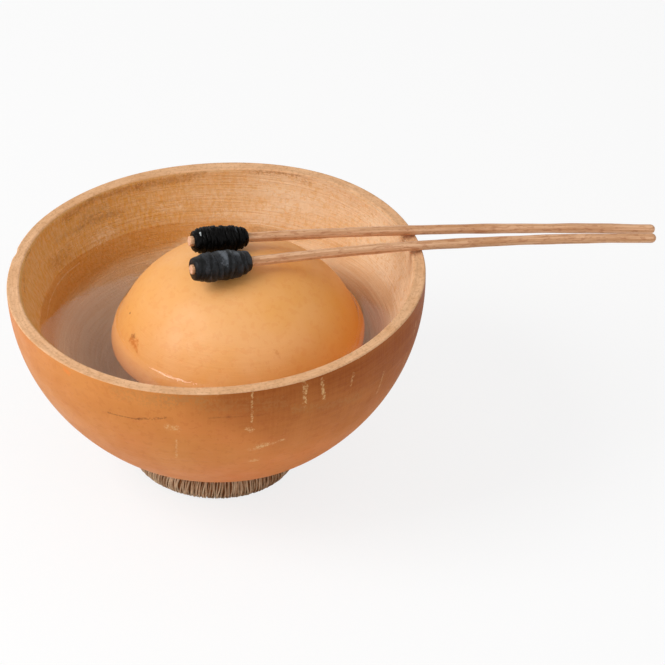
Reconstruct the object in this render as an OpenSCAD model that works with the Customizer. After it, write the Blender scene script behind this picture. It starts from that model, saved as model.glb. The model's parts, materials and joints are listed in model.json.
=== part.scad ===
// Gourd water drum: a half gourd of water on a lashed ring, a smaller half gourd
// floating upside down in it, and two wound beaters laid across float and rim.
// Millimetres. +Z is up, the floor is z = 0, and the ring and bowl stand on the Z axis.

/* [Bowl] */
// Outside diameter of the big half gourd at its cut rim
rim_d = 416; // [360:2:460]
// Depth from the middle of the rim to the underside
bowl_depth = 206; // [185:1:230]
// Wall at the rim, pared thin on the inside
rim_wall = 13; // [8:0.5:16]
// Wall of the belly and the bottom
belly_wall = 22; // [14:1:24]
// Slope of the cut rim, in degrees
rim_slope = 2.2; // [0:0.1:3]
// Side on which the rim is highest, in degrees round from +X
rim_high_side = 8; // [-20:1:30]
// Bevel along both edges of the rim
rim_bevel = 2; // [0.5:0.25:3]

/* [Water] */
// Water level below the middle of the rim
water_drop = 54; // [44:1:64]
// How much lower the water stands under the float than round it
air_step = 12; // [4:1:20]

/* [Float] */
// Widest outside diameter of the floating half gourd
float_d = 252; // [220:2:260]
// Height of its dome above the widest place
float_h = 109; // [96:1:120]
// Wall of the float
float_wall = 8; // [5:0.5:11]
// Depth of the widest place under the water level
float_draught = 30; // [24:1:34]
// How far the wall goes on below the widest place
float_skirt = 6; // [3:1:10]
// Where the float lies, right of the bowl's axis
float_x = 22; // [0:1:24]
// Where the float lies, behind the bowl's axis
float_y = -3; // [-12:1:12]

/* [Ring] */
// Outside diameter of the lashed ring
ring_d = 160; // [140:2:190]
// Thickness of the ring over its lashing
ring_thickness = 27; // [26:1:38]
// Turns of cord round the ring
lashing_turns = 76; // [60:2:84]
// Thickness of the lashing over the straw core
lashing_t = 3.4; // [3:0.1:4]
// Depth of the grooves between the turns of cord
lashing_groove = 1.5; // [0.8:0.1:1.7]
// How far the ring's weight has pressed its underside flat
ring_press = 2; // [1.8:0.1:2.4]

/* [Beaters] */
// Diameter of the sticks
stick_d = 10; // [8:0.5:11]
// Length of the rear stick
rear_stick_length = 486; // [400:2:520]
// Length of the front stick
front_stick_length = 488; // [400:2:520]
// Radius of the rear stick's natural bend
rear_bend = 3000; // [2600:100:6000]
// Radius of the front stick's natural bend
front_bend = 1900; // [1600:100:6000]
// Thickest diameter of the rear winding
rear_head_d = 28.5; // [24:0.5:32]
// Thickest diameter of the front winding
front_head_d = 31; // [26:0.5:34]
// Length of the rear winding
rear_head_length = 58; // [46:1:66]
// Length of the front winding
front_head_length = 62; // [50:1:70]
// Turns of the rear winding, of narrow rubber strip
rear_head_turns = 16; // [12:1:18]
// Turns of the front winding, of wide rubber strip
front_head_turns = 9; // [7:1:12]
// How far the stick stands out of the winding
tip_out = 3; // [1:0.5:8]

/* [Lie of the beaters] */
// Middle of the rear winding, right of the bowl's axis
rear_x = 4; // [-8:1:16]
// Middle of the rear winding, behind the bowl's axis
rear_y = 2; // [-2:1:12]
// Middle of the front winding, right of the bowl's axis
front_x = 6; // [-8:1:16]
// Middle of the front winding, behind the bowl's axis
front_y = -42; // [-52:1:-38]
// Where the rear stick crosses the rim, in degrees round from +X
rear_crossing_angle = 16.7; // [15:0.1:22]
// Where the front stick crosses the rim, in degrees round from +X
front_crossing_angle = 8.7; // [4:0.1:10]

/* [Hidden] */

// Clearances: what rests on another piece, water round what it wets, strip on its stick
seat_gap = 0.3;
water_gap = 0.5;
wrap_gap = 0.02;

// The ring: a circle of radius ring_mid swept by the lashed section
ring_r = ring_thickness / 2;
ring_mid = ring_d / 2 - ring_r;
ring_z = ring_r - ring_press;
core_r = ring_r - lashing_t;

// The bowl settles until its underside comes seat_gap above the ring
rim_r = rim_d / 2;
function ring_top(r) = ring_z + sqrt(pow(ring_r, 2) - pow(r - ring_mid, 2));
function bowl_rise(r) = bowl_depth * (1 - sqrt(1 - pow(r / rim_r, 2)));
pole_z = seat_gap + max([for (r = [ring_mid - ring_r / 2 : 0.25 : ring_mid]) ring_top(r) - bowl_rise(r)]);
rim_z = pole_z + bowl_depth;
rim_grade = tan(rim_slope);
function rim_top(p) = rim_z + rim_grade * (p.x * cos(rim_high_side) + p.y * sin(rim_high_side));

// Levels of the water and of the float in it
water_z = rim_z - water_drop;
trapped_z = water_z - air_step;
float_r = float_d / 2;
float_z = water_z - float_draught;
float_foot_z = float_z - float_skirt;
float_axis = [float_x, float_y];
float_r_in = float_r - float_wall;
float_h_in = float_h - float_wall;

// Bowl section. a runs from the rim at 0 to the pole at 90 degrees.
wall_ease_angle = 12;
rim_over_angle = 5;
profile_angle = 2.5;
function bowl_outer(a) = [rim_r * cos(a), -bowl_depth * sin(a)];
function bowl_normal(a) = let (n = [bowl_depth * cos(a), -rim_r * sin(a)]) n / norm(n);
function bowl_wall(a) = belly_wall - (belly_wall - rim_wall) * exp(-pow(max(a, 0) / wall_ease_angle, 2));
function bowl_inner(a, gap = 0) = bowl_outer(a) - (bowl_wall(a) + gap) * bowl_normal(a);

// Half an ellipse of radius r and height h, from angle a0 to its top at 90 degrees
function dome_arc(r, h, a0) = [for (i = [0 : 36]) let (a = a0 + (90 - a0) * i / 36) [r * cos(a), h * sin(a)]];

// A beater is [middle of the winding, rim crossing, bend radius, winding length, winding
// radius, turns, stick length]. Distances along it start at the middle of the winding.
stick_r = stick_d / 2;
function crossing(angle) = (rim_r - rim_bevel) * [cos(angle), sin(angle)];
REAR = [[rear_x, rear_y], crossing(rear_crossing_angle), rear_bend, rear_head_length,
        rear_head_d / 2, rear_head_turns, rear_stick_length];
FRONT = [[front_x, front_y], crossing(front_crossing_angle), front_bend, front_head_length,
         front_head_d / 2, front_head_turns, front_stick_length];
function span(b) = norm(b[1] - b[0]);
function yaw(b) = atan2(b[1].y - b[0].y, b[1].x - b[0].x);

// The bend bulges to the left of the line from winding to crossing
function bulge(b, s) = sqrt(pow(b[2], 2) - pow(s - span(b) / 2, 2)) - sqrt(pow(b[2], 2) - pow(span(b) / 2, 2));
function plan_point(b, s) = b[0] + [s * cos(yaw(b)) - bulge(b, s) * sin(yaw(b)),
                                    s * sin(yaw(b)) + bulge(b, s) * cos(yaw(b))];

// Barrel shape of a winding: tip_share and neck_share of its thickest radius at the ends
tip_share = 0.64;
neck_share = 0.54;
barrel_power = 0.7;
function barrel(b, u) = let (ends = tip_share + (neck_share - tip_share) * u)
    b[4] * (ends + (1 - ends) * pow(sin(180 * u), barrel_power));
function radius_at(b, s) = let (u = s / b[3] + 0.5) u < 0 || u > 1 ? stick_r : max(barrel(b, u), stick_r);

// Height of the beater's axis where it clears the float below it by seat_gap
function clear_height(b, s) = let (q = radius_at(b, s) + seat_gap, d = norm(plan_point(b, s) - float_axis))
    float_z + (float_h + q) * sqrt(max(0, 1 - pow(d / (float_r + q), 2)));
function crossing_z(b) = rim_top(b[1]) + stick_r + 2 * seat_gap;
function fall(b) = max([for (s = [-b[3] / 2 : 1 : b[3]]) (clear_height(b, s) - crossing_z(b)) / (span(b) - s)]);
function pitch(b) = atan(fall(b));
function head_z(b) = crossing_z(b) + fall(b) * span(b);

module ring_core() {
    color("burlywood")
    translate([0, 0, ring_z])
    rotate_extrude($fn = 96)
    translate([ring_mid, 0])
    circle(r = core_r - wrap_gap, $fn = 48);
}

// One cord wound round and round the ring. Four rows of points make one turn, and
// each row leans by one turn for every trip round the section, so the turns join up.
// The two lowest columns of points lie on the floor, where the turns are pressed flat.
lashing_rows = 4;
lashing_sides = 12;
module lashing_skin() {
    rows = lashing_turns * lashing_rows;
    crown = [0, 0.75, 1, 0.75];
    pressed = -cos(270 / lashing_sides);
    points = [for (i = [0 : rows - 1]) for (j = [0 : lashing_sides - 1])
        let (t = 360 * (j + 0.5) / lashing_sides, lean = j / lashing_sides,
             a = 360 * (i / lashing_rows + lean) / lashing_turns,
             r = ring_r - lashing_groove * (1 - crown[i % lashing_rows]), out = ring_mid + r * cos(t))
        [out * cos(a), out * sin(a), sin(t) < pressed ? 0 : max(0, ring_z + r * sin(t))]];
    function at(i, j) = let (turn = floor(j / lashing_sides))
        ((i + turn * lashing_rows) % rows) * lashing_sides + j % lashing_sides;
    faces = [for (i = [0 : rows - 1]) for (j = [0 : lashing_sides - 1])
        [at(i, j), at(i, j + 1), at(i + 1, j + 1), at(i + 1, j)]];
    polyhedron(points = points, faces = faces, convexity = 6);
}

// The hollow that the lashing leaves for the core, in flat facets
core_room = 1;
module core_hollow(rows = 40, sides = 10) {
    points = [for (i = [0 : rows - 1]) for (j = [0 : sides - 1])
        let (a = 360 * i / rows, t = 360 * j / sides, out = ring_mid + (core_r + core_room) * cos(t))
        [out * cos(a), out * sin(a), ring_z + (core_r + core_room) * sin(t)]];
    function at(i, j) = (i % rows) * sides + j % sides;
    faces = [for (i = [0 : rows - 1]) for (j = [0 : sides - 1])
        [at(i, j), at(i, j + 1), at(i + 1, j + 1), at(i + 1, j)]];
    polyhedron(points = points, faces = faces, convexity = 6);
}

module ring_lashing() {
    color("tan")
    difference() {
        lashing_skin();
        core_hollow();
    }
}

// What is sawn and pared away above the sloping rim
module rim_waste() {
    inside = rim_r - rim_wall;
    translate([0, 0, rim_z])
    rotate([0, -rim_slope, 0])
    rotate_extrude($fn = 180)
    polygon([[0, rim_r], [0, -rim_bevel], [inside, -rim_bevel], [inside + rim_bevel, 0],
             [rim_r - rim_bevel, 0], [rim_r, -rim_bevel], [rim_r + rim_wall, -rim_bevel],
             [rim_r + rim_wall, rim_r]]);
}

module bowl() {
    angles = [-rim_over_angle : profile_angle : 90];
    outer = [for (a = angles) bowl_outer(a)];
    inner = [for (a = angles) bowl_inner(a)];
    last = len(inner) - 1;
    color("peru")
    difference() {
        translate([0, 0, rim_z])
        rotate_extrude($fn = 180)
        polygon(concat(outer, [for (i = [last : -1 : 0]) inner[i]]));
        rotate([0, 0, rim_high_side])
        rim_waste();
    }
}

// The water has room for the float's wall to be lifted straight out of it
module water() {
    color("lightsteelblue", 0.6)
    difference() {
        intersection() {
            translate([0, 0, rim_z])
            rotate_extrude($fn = 180)
            polygon(concat([[0, 0]], [for (a = [0 : profile_angle : 90]) bowl_inner(a, water_gap)]));
            cylinder(r = rim_r, h = water_z);
        }
        translate([float_x, float_y, 0]) {
            translate([0, 0, trapped_z])
            cylinder(r = float_r + water_gap, h = rim_d, $fn = 120);
            float_wall_room();
        }
    }
}

// Ring-shaped well in the water for the submerged wall of the float
module float_wall_room() {
    trapped_r = float_r_in * sqrt(1 - pow((trapped_z - float_z) / float_h_in, 2)) - water_gap;
    translate([0, 0, float_foot_z - seat_gap])
    rotate_extrude($fn = 120)
    translate([trapped_r, 0])
    square([float_r + water_gap - trapped_r, rim_d]);
}

module float_gourd() {
    foot = -asin(float_skirt / float_h);
    outer = dome_arc(float_r, float_h, foot);
    inner = dome_arc(float_r_in, float_h_in, -asin(float_skirt / float_h_in));
    last = len(inner) - 1;
    color("sandybrown")
    translate([float_x, float_y, float_z])
    rotate_extrude($fn = 120)
    polygon(concat(outer, [for (i = [last : -1 : 0]) inner[i]]));
}

// Puts a beater's own frame in place: x along it, y to the side of its bend
module lay_beater(b) {
    translate([b[0].x, b[0].y, head_z(b)])
    rotate([0, pitch(b), yaw(b)])
    children();
}

// A round rod of radius r along a beater's bend, from distance s0 to s1
module bent_rod(b, r, s0, s1) {
    middle = span(b) / 2;
    a0 = asin((s0 - middle) / b[2]);
    a1 = asin((s1 - middle) / b[2]);
    translate([middle, -sqrt(pow(b[2], 2) - pow(middle, 2)), 0])
    rotate([0, 0, 90 - a1])
    rotate_extrude(angle = a1 - a0, $fn = 1440)
    translate([b[2], 0])
    circle(r = r, $fn = 32);
}

// The rounded free end starts end_step inside the stick's surface and end_root deep in it
end_step = 0.2;
end_root = 1;
module beater_stick(b) {
    tip = -b[3] / 2 - tip_out;
    end = tip + b[6] - stick_r;
    round_r = stick_r - end_step;
    color("burlywood")
    lay_beater(b) {
        bent_rod(b, stick_r, tip, end);
        translate([end, bulge(b, end), 0])
        rotate([0, 90, -asin((end - span(b) / 2) / b[2])])
        rotate_extrude($fn = 32)
        polygon(concat([[0, -end_root], [round_r, -end_root]],
                       [for (a = [0 : 7.5 : 90]) round_r * [cos(a), sin(a)]]));
    }
}

// Rubber strip wound along the stick: a barrel with one helical groove between turns
winding_sides = 20;
winding_rows = 5;
strip_groove = 0.9;
module beater_winding(b, tint) {
    rings = b[5] * winding_rows;
    points = [for (i = [0 : rings]) for (j = [0 : winding_sides - 1])
        let (u = i / rings, t = 360 * j / winding_sides, s = (u - 0.5) * b[3],
             groove = strip_groove * pow(0.5 + 0.5 * cos(360 * b[5] * u - t), 2),
             r = max(barrel(b, u), stick_r + 1.5) - (i == 0 || i == rings ? 0 : groove))
        [s, bulge(b, s) + r * cos(t), r * sin(t)]];
    sides = [for (i = [0 : rings - 1]) for (j = [0 : winding_sides - 1])
        let (k = (j + 1) % winding_sides, p = i * winding_sides, q = p + winding_sides)
        [p + j, p + k, q + k, q + j]];
    caps = [[for (j = [winding_sides - 1 : -1 : 0]) j],
            [for (j = [0 : winding_sides - 1]) rings * winding_sides + j]];
    color(tint)
    lay_beater(b)
    difference() {
        polyhedron(points = points, faces = concat(sides, caps), convexity = 6);
        bent_rod(b, stick_r + wrap_gap, -b[3], b[3]);
    }
}

ring_core();
ring_lashing();
bowl();
water();
float_gourd();
beater_stick(REAR);  // rear_stick
beater_winding(REAR, "dimgray");  // rear_winding
beater_stick(FRONT);  // front_stick
beater_winding(FRONT, "slategray");  // front_winding
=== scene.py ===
"""Looks of a gourd water drum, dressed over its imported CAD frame.

A big half gourd of water stands on a lashed straw ring, a smaller half gourd floats
upside down in it, and two beaters with wound rubber heads lie across float and rim.
Everything is in metres, in the frame of the CAD part.
"""

import itertools
import json
import logging
import math
import random
from dataclasses import dataclass, replace
from enum import Enum
from typing import Sequence

import bpy
import numpy as np
from mathutils import Matrix, Vector
from mathutils.bvhtree import BVHTree
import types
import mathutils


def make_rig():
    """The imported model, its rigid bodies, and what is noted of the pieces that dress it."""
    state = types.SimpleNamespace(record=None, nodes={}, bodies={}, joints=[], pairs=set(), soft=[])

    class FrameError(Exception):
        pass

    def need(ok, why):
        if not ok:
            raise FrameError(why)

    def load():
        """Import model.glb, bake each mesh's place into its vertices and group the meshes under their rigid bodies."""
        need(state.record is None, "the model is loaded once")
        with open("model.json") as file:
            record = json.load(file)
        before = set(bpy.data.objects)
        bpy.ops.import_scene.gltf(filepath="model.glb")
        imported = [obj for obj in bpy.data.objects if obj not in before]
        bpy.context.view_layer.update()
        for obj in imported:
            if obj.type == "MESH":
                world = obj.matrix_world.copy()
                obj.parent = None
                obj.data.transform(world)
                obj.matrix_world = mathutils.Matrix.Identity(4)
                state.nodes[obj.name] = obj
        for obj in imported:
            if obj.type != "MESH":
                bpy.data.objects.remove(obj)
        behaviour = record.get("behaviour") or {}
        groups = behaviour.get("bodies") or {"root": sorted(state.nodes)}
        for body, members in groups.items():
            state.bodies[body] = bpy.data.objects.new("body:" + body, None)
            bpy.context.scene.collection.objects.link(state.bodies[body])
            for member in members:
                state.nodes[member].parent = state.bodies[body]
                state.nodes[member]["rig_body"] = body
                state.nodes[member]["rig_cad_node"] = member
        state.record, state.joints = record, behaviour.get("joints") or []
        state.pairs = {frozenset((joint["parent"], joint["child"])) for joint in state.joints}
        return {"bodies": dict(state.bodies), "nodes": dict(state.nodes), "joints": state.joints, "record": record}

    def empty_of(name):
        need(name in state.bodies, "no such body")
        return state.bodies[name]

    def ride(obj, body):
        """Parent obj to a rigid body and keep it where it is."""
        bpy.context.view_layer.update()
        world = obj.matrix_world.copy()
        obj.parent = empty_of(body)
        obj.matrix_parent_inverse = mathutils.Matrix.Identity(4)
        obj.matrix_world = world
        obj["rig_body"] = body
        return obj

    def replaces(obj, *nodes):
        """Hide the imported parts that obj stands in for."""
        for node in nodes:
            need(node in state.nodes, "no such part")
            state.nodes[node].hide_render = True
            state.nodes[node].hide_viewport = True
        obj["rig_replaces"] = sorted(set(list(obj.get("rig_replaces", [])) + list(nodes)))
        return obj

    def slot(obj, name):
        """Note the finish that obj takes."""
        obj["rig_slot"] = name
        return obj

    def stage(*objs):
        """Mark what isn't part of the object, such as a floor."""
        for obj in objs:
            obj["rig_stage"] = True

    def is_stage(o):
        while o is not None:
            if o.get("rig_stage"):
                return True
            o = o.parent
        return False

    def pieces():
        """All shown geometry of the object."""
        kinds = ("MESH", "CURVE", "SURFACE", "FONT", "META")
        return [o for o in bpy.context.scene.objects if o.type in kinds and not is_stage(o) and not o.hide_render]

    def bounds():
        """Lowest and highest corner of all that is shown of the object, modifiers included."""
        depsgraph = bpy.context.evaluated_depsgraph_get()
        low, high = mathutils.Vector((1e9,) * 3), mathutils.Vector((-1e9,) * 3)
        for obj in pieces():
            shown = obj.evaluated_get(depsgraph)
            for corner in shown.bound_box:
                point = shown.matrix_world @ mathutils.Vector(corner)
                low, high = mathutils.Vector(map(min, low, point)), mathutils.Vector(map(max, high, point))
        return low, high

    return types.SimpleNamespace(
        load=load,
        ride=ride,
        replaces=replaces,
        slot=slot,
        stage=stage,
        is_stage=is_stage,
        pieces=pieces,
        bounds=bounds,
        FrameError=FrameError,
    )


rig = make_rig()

LOG = logging.getLogger("water_drum")
MM = 0.001
ORIGIN = (0.0, 0.0, 0.0)
WHITE = (1.0, 1.0, 1.0)
Colour = tuple[float, float, float]
Tree = bpy.types.NodeTree
Node = bpy.types.Node
Socket = bpy.types.NodeSocket
Piece = bpy.types.Object
Finish = bpy.types.Material


# ---------------------------------------------------------------- camera and points


@dataclass(frozen=True)
class Sight:
    """The camera, and where things show in the photograph's frame."""

    width: float = 665.0
    height: float = 665.0
    lens: float = 300.0
    sensor: float = 36.0
    distance: float = 5.439
    elevation: float = 34.02
    aim: tuple[float, float, float] = (0.11526, -0.07391, 0.2012)

    def back(self) -> Vector:
        """Unit vector from what the camera looks at to the camera."""
        lift = math.radians(self.elevation)
        return Vector((0.0, -math.cos(lift), math.sin(lift)))

    def axes(self) -> Matrix:
        """Camera axes as the columns of a rotation."""
        return (-self.back()).to_track_quat("-Z", "Y").to_matrix()

    def place_of_camera(self) -> Vector:
        """Where the camera stands."""
        return Vector(self.aim) + self.back() * self.distance

    def make(self) -> None:
        """Builds the camera and makes it the scene's."""
        data = bpy.data.cameras.new("photo_camera")
        data.lens = self.lens
        data.sensor_width = self.sensor
        data.sensor_fit = "AUTO"
        data.clip_end = 40.0
        camera = bpy.data.objects.new("photo_camera", data)
        camera.matrix_world = Matrix.Translation(self.place_of_camera()) @ self.axes().to_4x4()
        bpy.context.scene.collection.objects.link(camera)
        bpy.context.scene.camera = camera

    def shows_at(self, points: np.ndarray) -> np.ndarray:
        """Image places of points.

        Args:
            points: World points, one a row.

        Returns:
            The x and y of each in the photograph's frame.
        """
        local = (points - np.array(self.place_of_camera())) @ np.array(self.axes())
        scale = max(self.width, self.height) * self.lens / self.sensor
        x = self.width / 2 + scale * local[:, 0] / -local[:, 2]
        y = self.height / 2 - scale * local[:, 1] / -local[:, 2]
        return np.stack([x, y], axis=1)

    def place_on(self, tree: BVHTree, x: float, y: float) -> Vector:
        """The place on a surface that shows at an image point.

        Args:
            tree: The surface that carries the thing, as finished and placed.
            x: Image point's x.
            y: Image point's y.

        Returns:
            Where the ray meets the surface, or the place nearest the ray.
        """
        long_side = max(self.width, self.height)
        ray = Vector((x - self.width / 2, self.height / 2 - y, -long_side * self.lens / self.sensor))
        start = self.place_of_camera()
        way = (self.axes() @ ray).normalized()
        hit = tree.ray_cast(start, way)[0]
        if hit is not None:
            return hit
        steps = [start + way * (self.distance + 0.004 * k) for k in range(-100, 101)]
        return min((tree.find_nearest(p) for p in steps), key=lambda found: found[3])[0]


@dataclass(frozen=True)
class ImagePoint:
    """A named place in the photograph; an edge of the object has only an x or only a y."""

    name: str
    x: float | None = None
    y: float | None = None


LEFT = ImagePoint("left_edge", x=6.0)
RIGHT = ImagePoint("right_edge", x=656.0)
TOP = ImagePoint("top_edge", y=162.0)
BOTTOM = ImagePoint("bottom_edge", y=499.0)
REAR_TIP = ImagePoint("rear_beater_tip", 189.5, 239.5)
REAR_END = ImagePoint("rear_stick_end", 655.0, 229.2)
FRONT_END = ImagePoint("front_stick_end", 653.0, 238.5)
RIM_FRONT = ImagePoint("rim_front_lowest", 195.0, 390.0)
FLOAT_DOT = ImagePoint("float_dark_dot", 130.0, 313.0)
FLOAT_SCAR = ImagePoint("float_scar", 133.5, 342.0)
LONG_DRIP = ImagePoint("long_drip", 252.0, 408.0)
RIM_DRIP = ImagePoint("rim_drip", 323.0, 389.0)
PALE_SCRAPE = ImagePoint("pale_scrape", 271.0, 443.5)
LEFT_CRACK = ImagePoint("left_crack", 137.0, 418.5)
PALE_PATCH = ImagePoint("pale_patch", 172.0, 428.0)

# In pixels: reach of a stick's end, what counts as the lowest row, and reach of the rim's band.
END_BAND = 3.0
LOW_BAND = 0.3
WIDE_BAND = 30.0


class PointBook:
    """Keeps how far each thing shows from its image point."""

    def __init__(self, sight: Sight) -> None:
        """Starts an empty book for one camera."""
        self.sight = sight
        self.rows: dict[str, dict[str, float]] = {}

    def note(self, point: ImagePoint, place: Vector) -> None:
        """Notes where the middle of what shows of a thing lies."""
        self._keep(point, *self.sight.shows_at(np.array([place], float))[0])

    def spots(self, piece: Piece, zone: int | None = None) -> np.ndarray:
        """Image places of a finished piece's vertices.

        Args:
            piece: The finished piece.
            zone: Material slot of the faces whose vertices count, or all faces.

        Returns:
            The x and y of each vertex.
        """
        shape = piece.evaluated_get(bpy.context.evaluated_depsgraph_get())
        mesh = shape.to_mesh()
        flat = np.zeros(len(mesh.vertices) * 3, np.float32)
        mesh.vertices.foreach_get("co", flat)
        kept = np.arange(len(mesh.vertices))
        if zone is not None:
            faces = [face for face in mesh.polygons if face.material_index == zone]
            kept = np.array(sorted({v for face in faces for v in face.vertices}))
        shape.to_mesh_clear()
        return self.sight.shows_at(flat.reshape(-1, 3)[kept].astype(float))

    def _keep(self, point: ImagePoint, x: float, y: float) -> None:
        """Keeps how far a shown x and y lie from a point."""
        self.rows[point.name] = {"x_off": round(float(x - point.x), 2), "y_off": round(float(y - point.y), 2)}

    def note_middle(self, point: ImagePoint, piece: Piece, zone: int) -> None:
        """Notes the middle of a small face by its finished vertices."""
        x, y = self.spots(piece, zone).mean(axis=0)
        self._keep(point, x, y)

    def note_right_end(self, point: ImagePoint, piece: Piece) -> None:
        """Notes where a long piece ends on the right by its finished vertices.

        Args:
            point: The end's image point.
            piece: The finished piece.
        """
        spots = self.spots(piece)
        x = spots[:, 0].max()
        band = spots[spots[:, 0] > x - END_BAND, 1]
        self._keep(point, x, (band.min() + band.max()) / 2)

    def note_band(self, point: ImagePoint, piece: Piece, zone: int) -> None:
        """Notes the middle of a band where it hangs lowest by its finished vertices.

        Args:
            point: The band's image point.
            piece: The finished piece.
            zone: Material slot of the band.
        """
        spots = self.spots(piece, zone)
        x = spots[spots[:, 1] > spots[:, 1].max() - LOW_BAND, 0].mean()
        band = spots[(np.abs(spots[:, 0] - x) < END_BAND) & (spots[:, 1] > spots[:, 1].max() - WIDE_BAND), 1]
        self._keep(point, x, (band.min() + band.max()) / 2)

    def note_edges(self, pieces: Sequence[Piece]) -> None:
        """Notes the object's four edges by the finished vertices.

        Args:
            pieces: All finished pieces.
        """
        spots = np.concatenate([self.spots(piece) for piece in pieces])
        self.rows[LEFT.name] = {"x_off": round(float(spots[:, 0].min() - LEFT.x), 2)}
        self.rows[RIGHT.name] = {"x_off": round(float(spots[:, 0].max() - RIGHT.x), 2)}
        self.rows[TOP.name] = {"y_off": round(float(spots[:, 1].min() - TOP.y), 2)}
        self.rows[BOTTOM.name] = {"y_off": round(float(spots[:, 1].max() - BOTTOM.y), 2)}

    def write(self, path: str) -> None:
        """Writes the book as JSON."""
        with open(path, "w", encoding="utf-8") as out:
            json.dump(self.rows, out, indent=1)


# ---------------------------------------------------------------- mesh helpers


def grid_faces(rows: int, columns: int) -> list[tuple]:
    """Quads over a grid of points whose columns close into rings.

    Args:
        rows: Rings of points.
        columns: Points in a ring.

    Returns:
        The quads as index tuples.
    """
    faces = []
    for low in range(0, (rows - 1) * columns, columns):
        high = low + columns
        for j in range(columns):
            k = (j + 1) % columns
            faces.append((low + j, low + k, high + k, high + j))
    return faces


def ease(x: np.ndarray) -> np.ndarray:
    """Smooth step from 0 to 1."""
    x = np.clip(x, 0.0, 1.0)
    return x * x * (3 - 2 * x)


def circle(count: int) -> np.ndarray:
    """Angles of points spread evenly round a circle."""
    return np.linspace(0, 2 * math.pi, count, endpoint=False)


def ring_of(radius: object, around: np.ndarray, height: object, axis: tuple = (0.0, 0.0)) -> np.ndarray:
    """Points round an axis by radius, angle and height, one a row."""
    x, y = axis[0] + radius * np.cos(around), axis[1] + radius * np.sin(around)
    return np.stack([x, y, height + 0 * around], axis=1)


def tube_of(s: object, radius: object, around: np.ndarray, shift: float = 0.0) -> np.ndarray:
    """Places along a stick and round it, as the grain of its finish lies."""
    return np.stack([s + 0 * around, radius * np.cos(around) + shift, radius * np.sin(around)], axis=1)


class MeshMaker:
    """Gathers points, faces and painted values, and makes one mesh object of them."""

    def __init__(self, name: str) -> None:
        """Starts an empty piece.

        Args:
            name: Name of the piece.
        """
        self.name = name
        self.points: list[np.ndarray] = []
        self.faces: list[tuple] = []
        self.zones: list[int] = []
        self.count = 0
        self.fields: dict[str, list[np.ndarray]] = {}

    def add(
        self, points: np.ndarray, faces: Sequence[tuple], zones: Sequence[int] = (), **fields: object
    ) -> None:
        """Adds points and the faces over them.

        Args:
            points: Points, one a row.
            faces: Index tuples that count from the first of these points.
            zones: Index of the finish on each face, or nothing where it is 0 on all.
            **fields: Painted values, one a point or one vector a point.
        """
        self.points.append(np.asarray(points, float))
        self.faces.extend(tuple(self.count + k for k in face) for face in faces)
        self.zones.extend(zones or [0] * len(faces))
        self.count += len(points)
        for key, value in fields.items():
            self.fields.setdefault(key, []).append(np.asarray(value, np.float32))

    def add_tube(
        self, rings: Sequence[np.ndarray], flip: bool = False, zones: Sequence[int] = (),
        caps: bool = True, **fields: object,
    ) -> None:
        """Adds a body of rings of points.

        Args:
            rings: The rings, of as many points each.
            flip: Whether the faces look the other way.
            zones: Index of the finish on the first cap, each strip and the last cap.
            caps: Whether a face closes each end.
            **fields: Painted values, one array a ring.
        """
        count = len(rings[0])
        faces = grid_faces(len(rings), count)
        last = (len(rings) - 1) * count
        if caps:
            faces += [tuple(reversed(range(count))), tuple(range(last, last + count))]
        if flip:
            faces = [tuple(reversed(face)) for face in faces]
        each = [zone for zone in zones[1:-1] for _ in range(count)] + [zones[0], zones[-1]] if zones else []
        painted = {key: np.concatenate(parts) for key, parts in fields.items()}
        self.add(np.concatenate(rings), faces, each, **painted)

    def make(self, finishes: Sequence[Finish]) -> Piece:
        """Makes the object.

        Args:
            finishes: One material for each zone.

        Returns:
            The linked mesh object.
        """
        mesh = bpy.data.meshes.new(self.name)
        mesh.from_pydata(np.concatenate(self.points).tolist(), [], self.faces)
        for finish in finishes:
            mesh.materials.append(finish)
        mesh.polygons.foreach_set("material_index", self.zones)
        mesh.polygons.foreach_set("use_smooth", [True] * len(self.faces))
        for key, parts in self.fields.items():
            values = np.concatenate(parts)
            kind, slot = ("FLOAT", "value") if values.ndim == 1 else ("FLOAT_VECTOR", "vector")
            painted = mesh.attributes.new(key, kind, "POINT")
            painted.data.foreach_set(slot, values.ravel())
        mesh.update()
        mesh.validate()
        piece = bpy.data.objects.new(self.name, mesh)
        bpy.context.scene.collection.objects.link(piece)
        return piece


def tree_of(piece: Piece) -> BVHTree:
    """Search tree of a finished piece."""
    return BVHTree.FromObject(piece, bpy.context.evaluated_depsgraph_get())


# ---------------------------------------------------------------- shared effects


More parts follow.
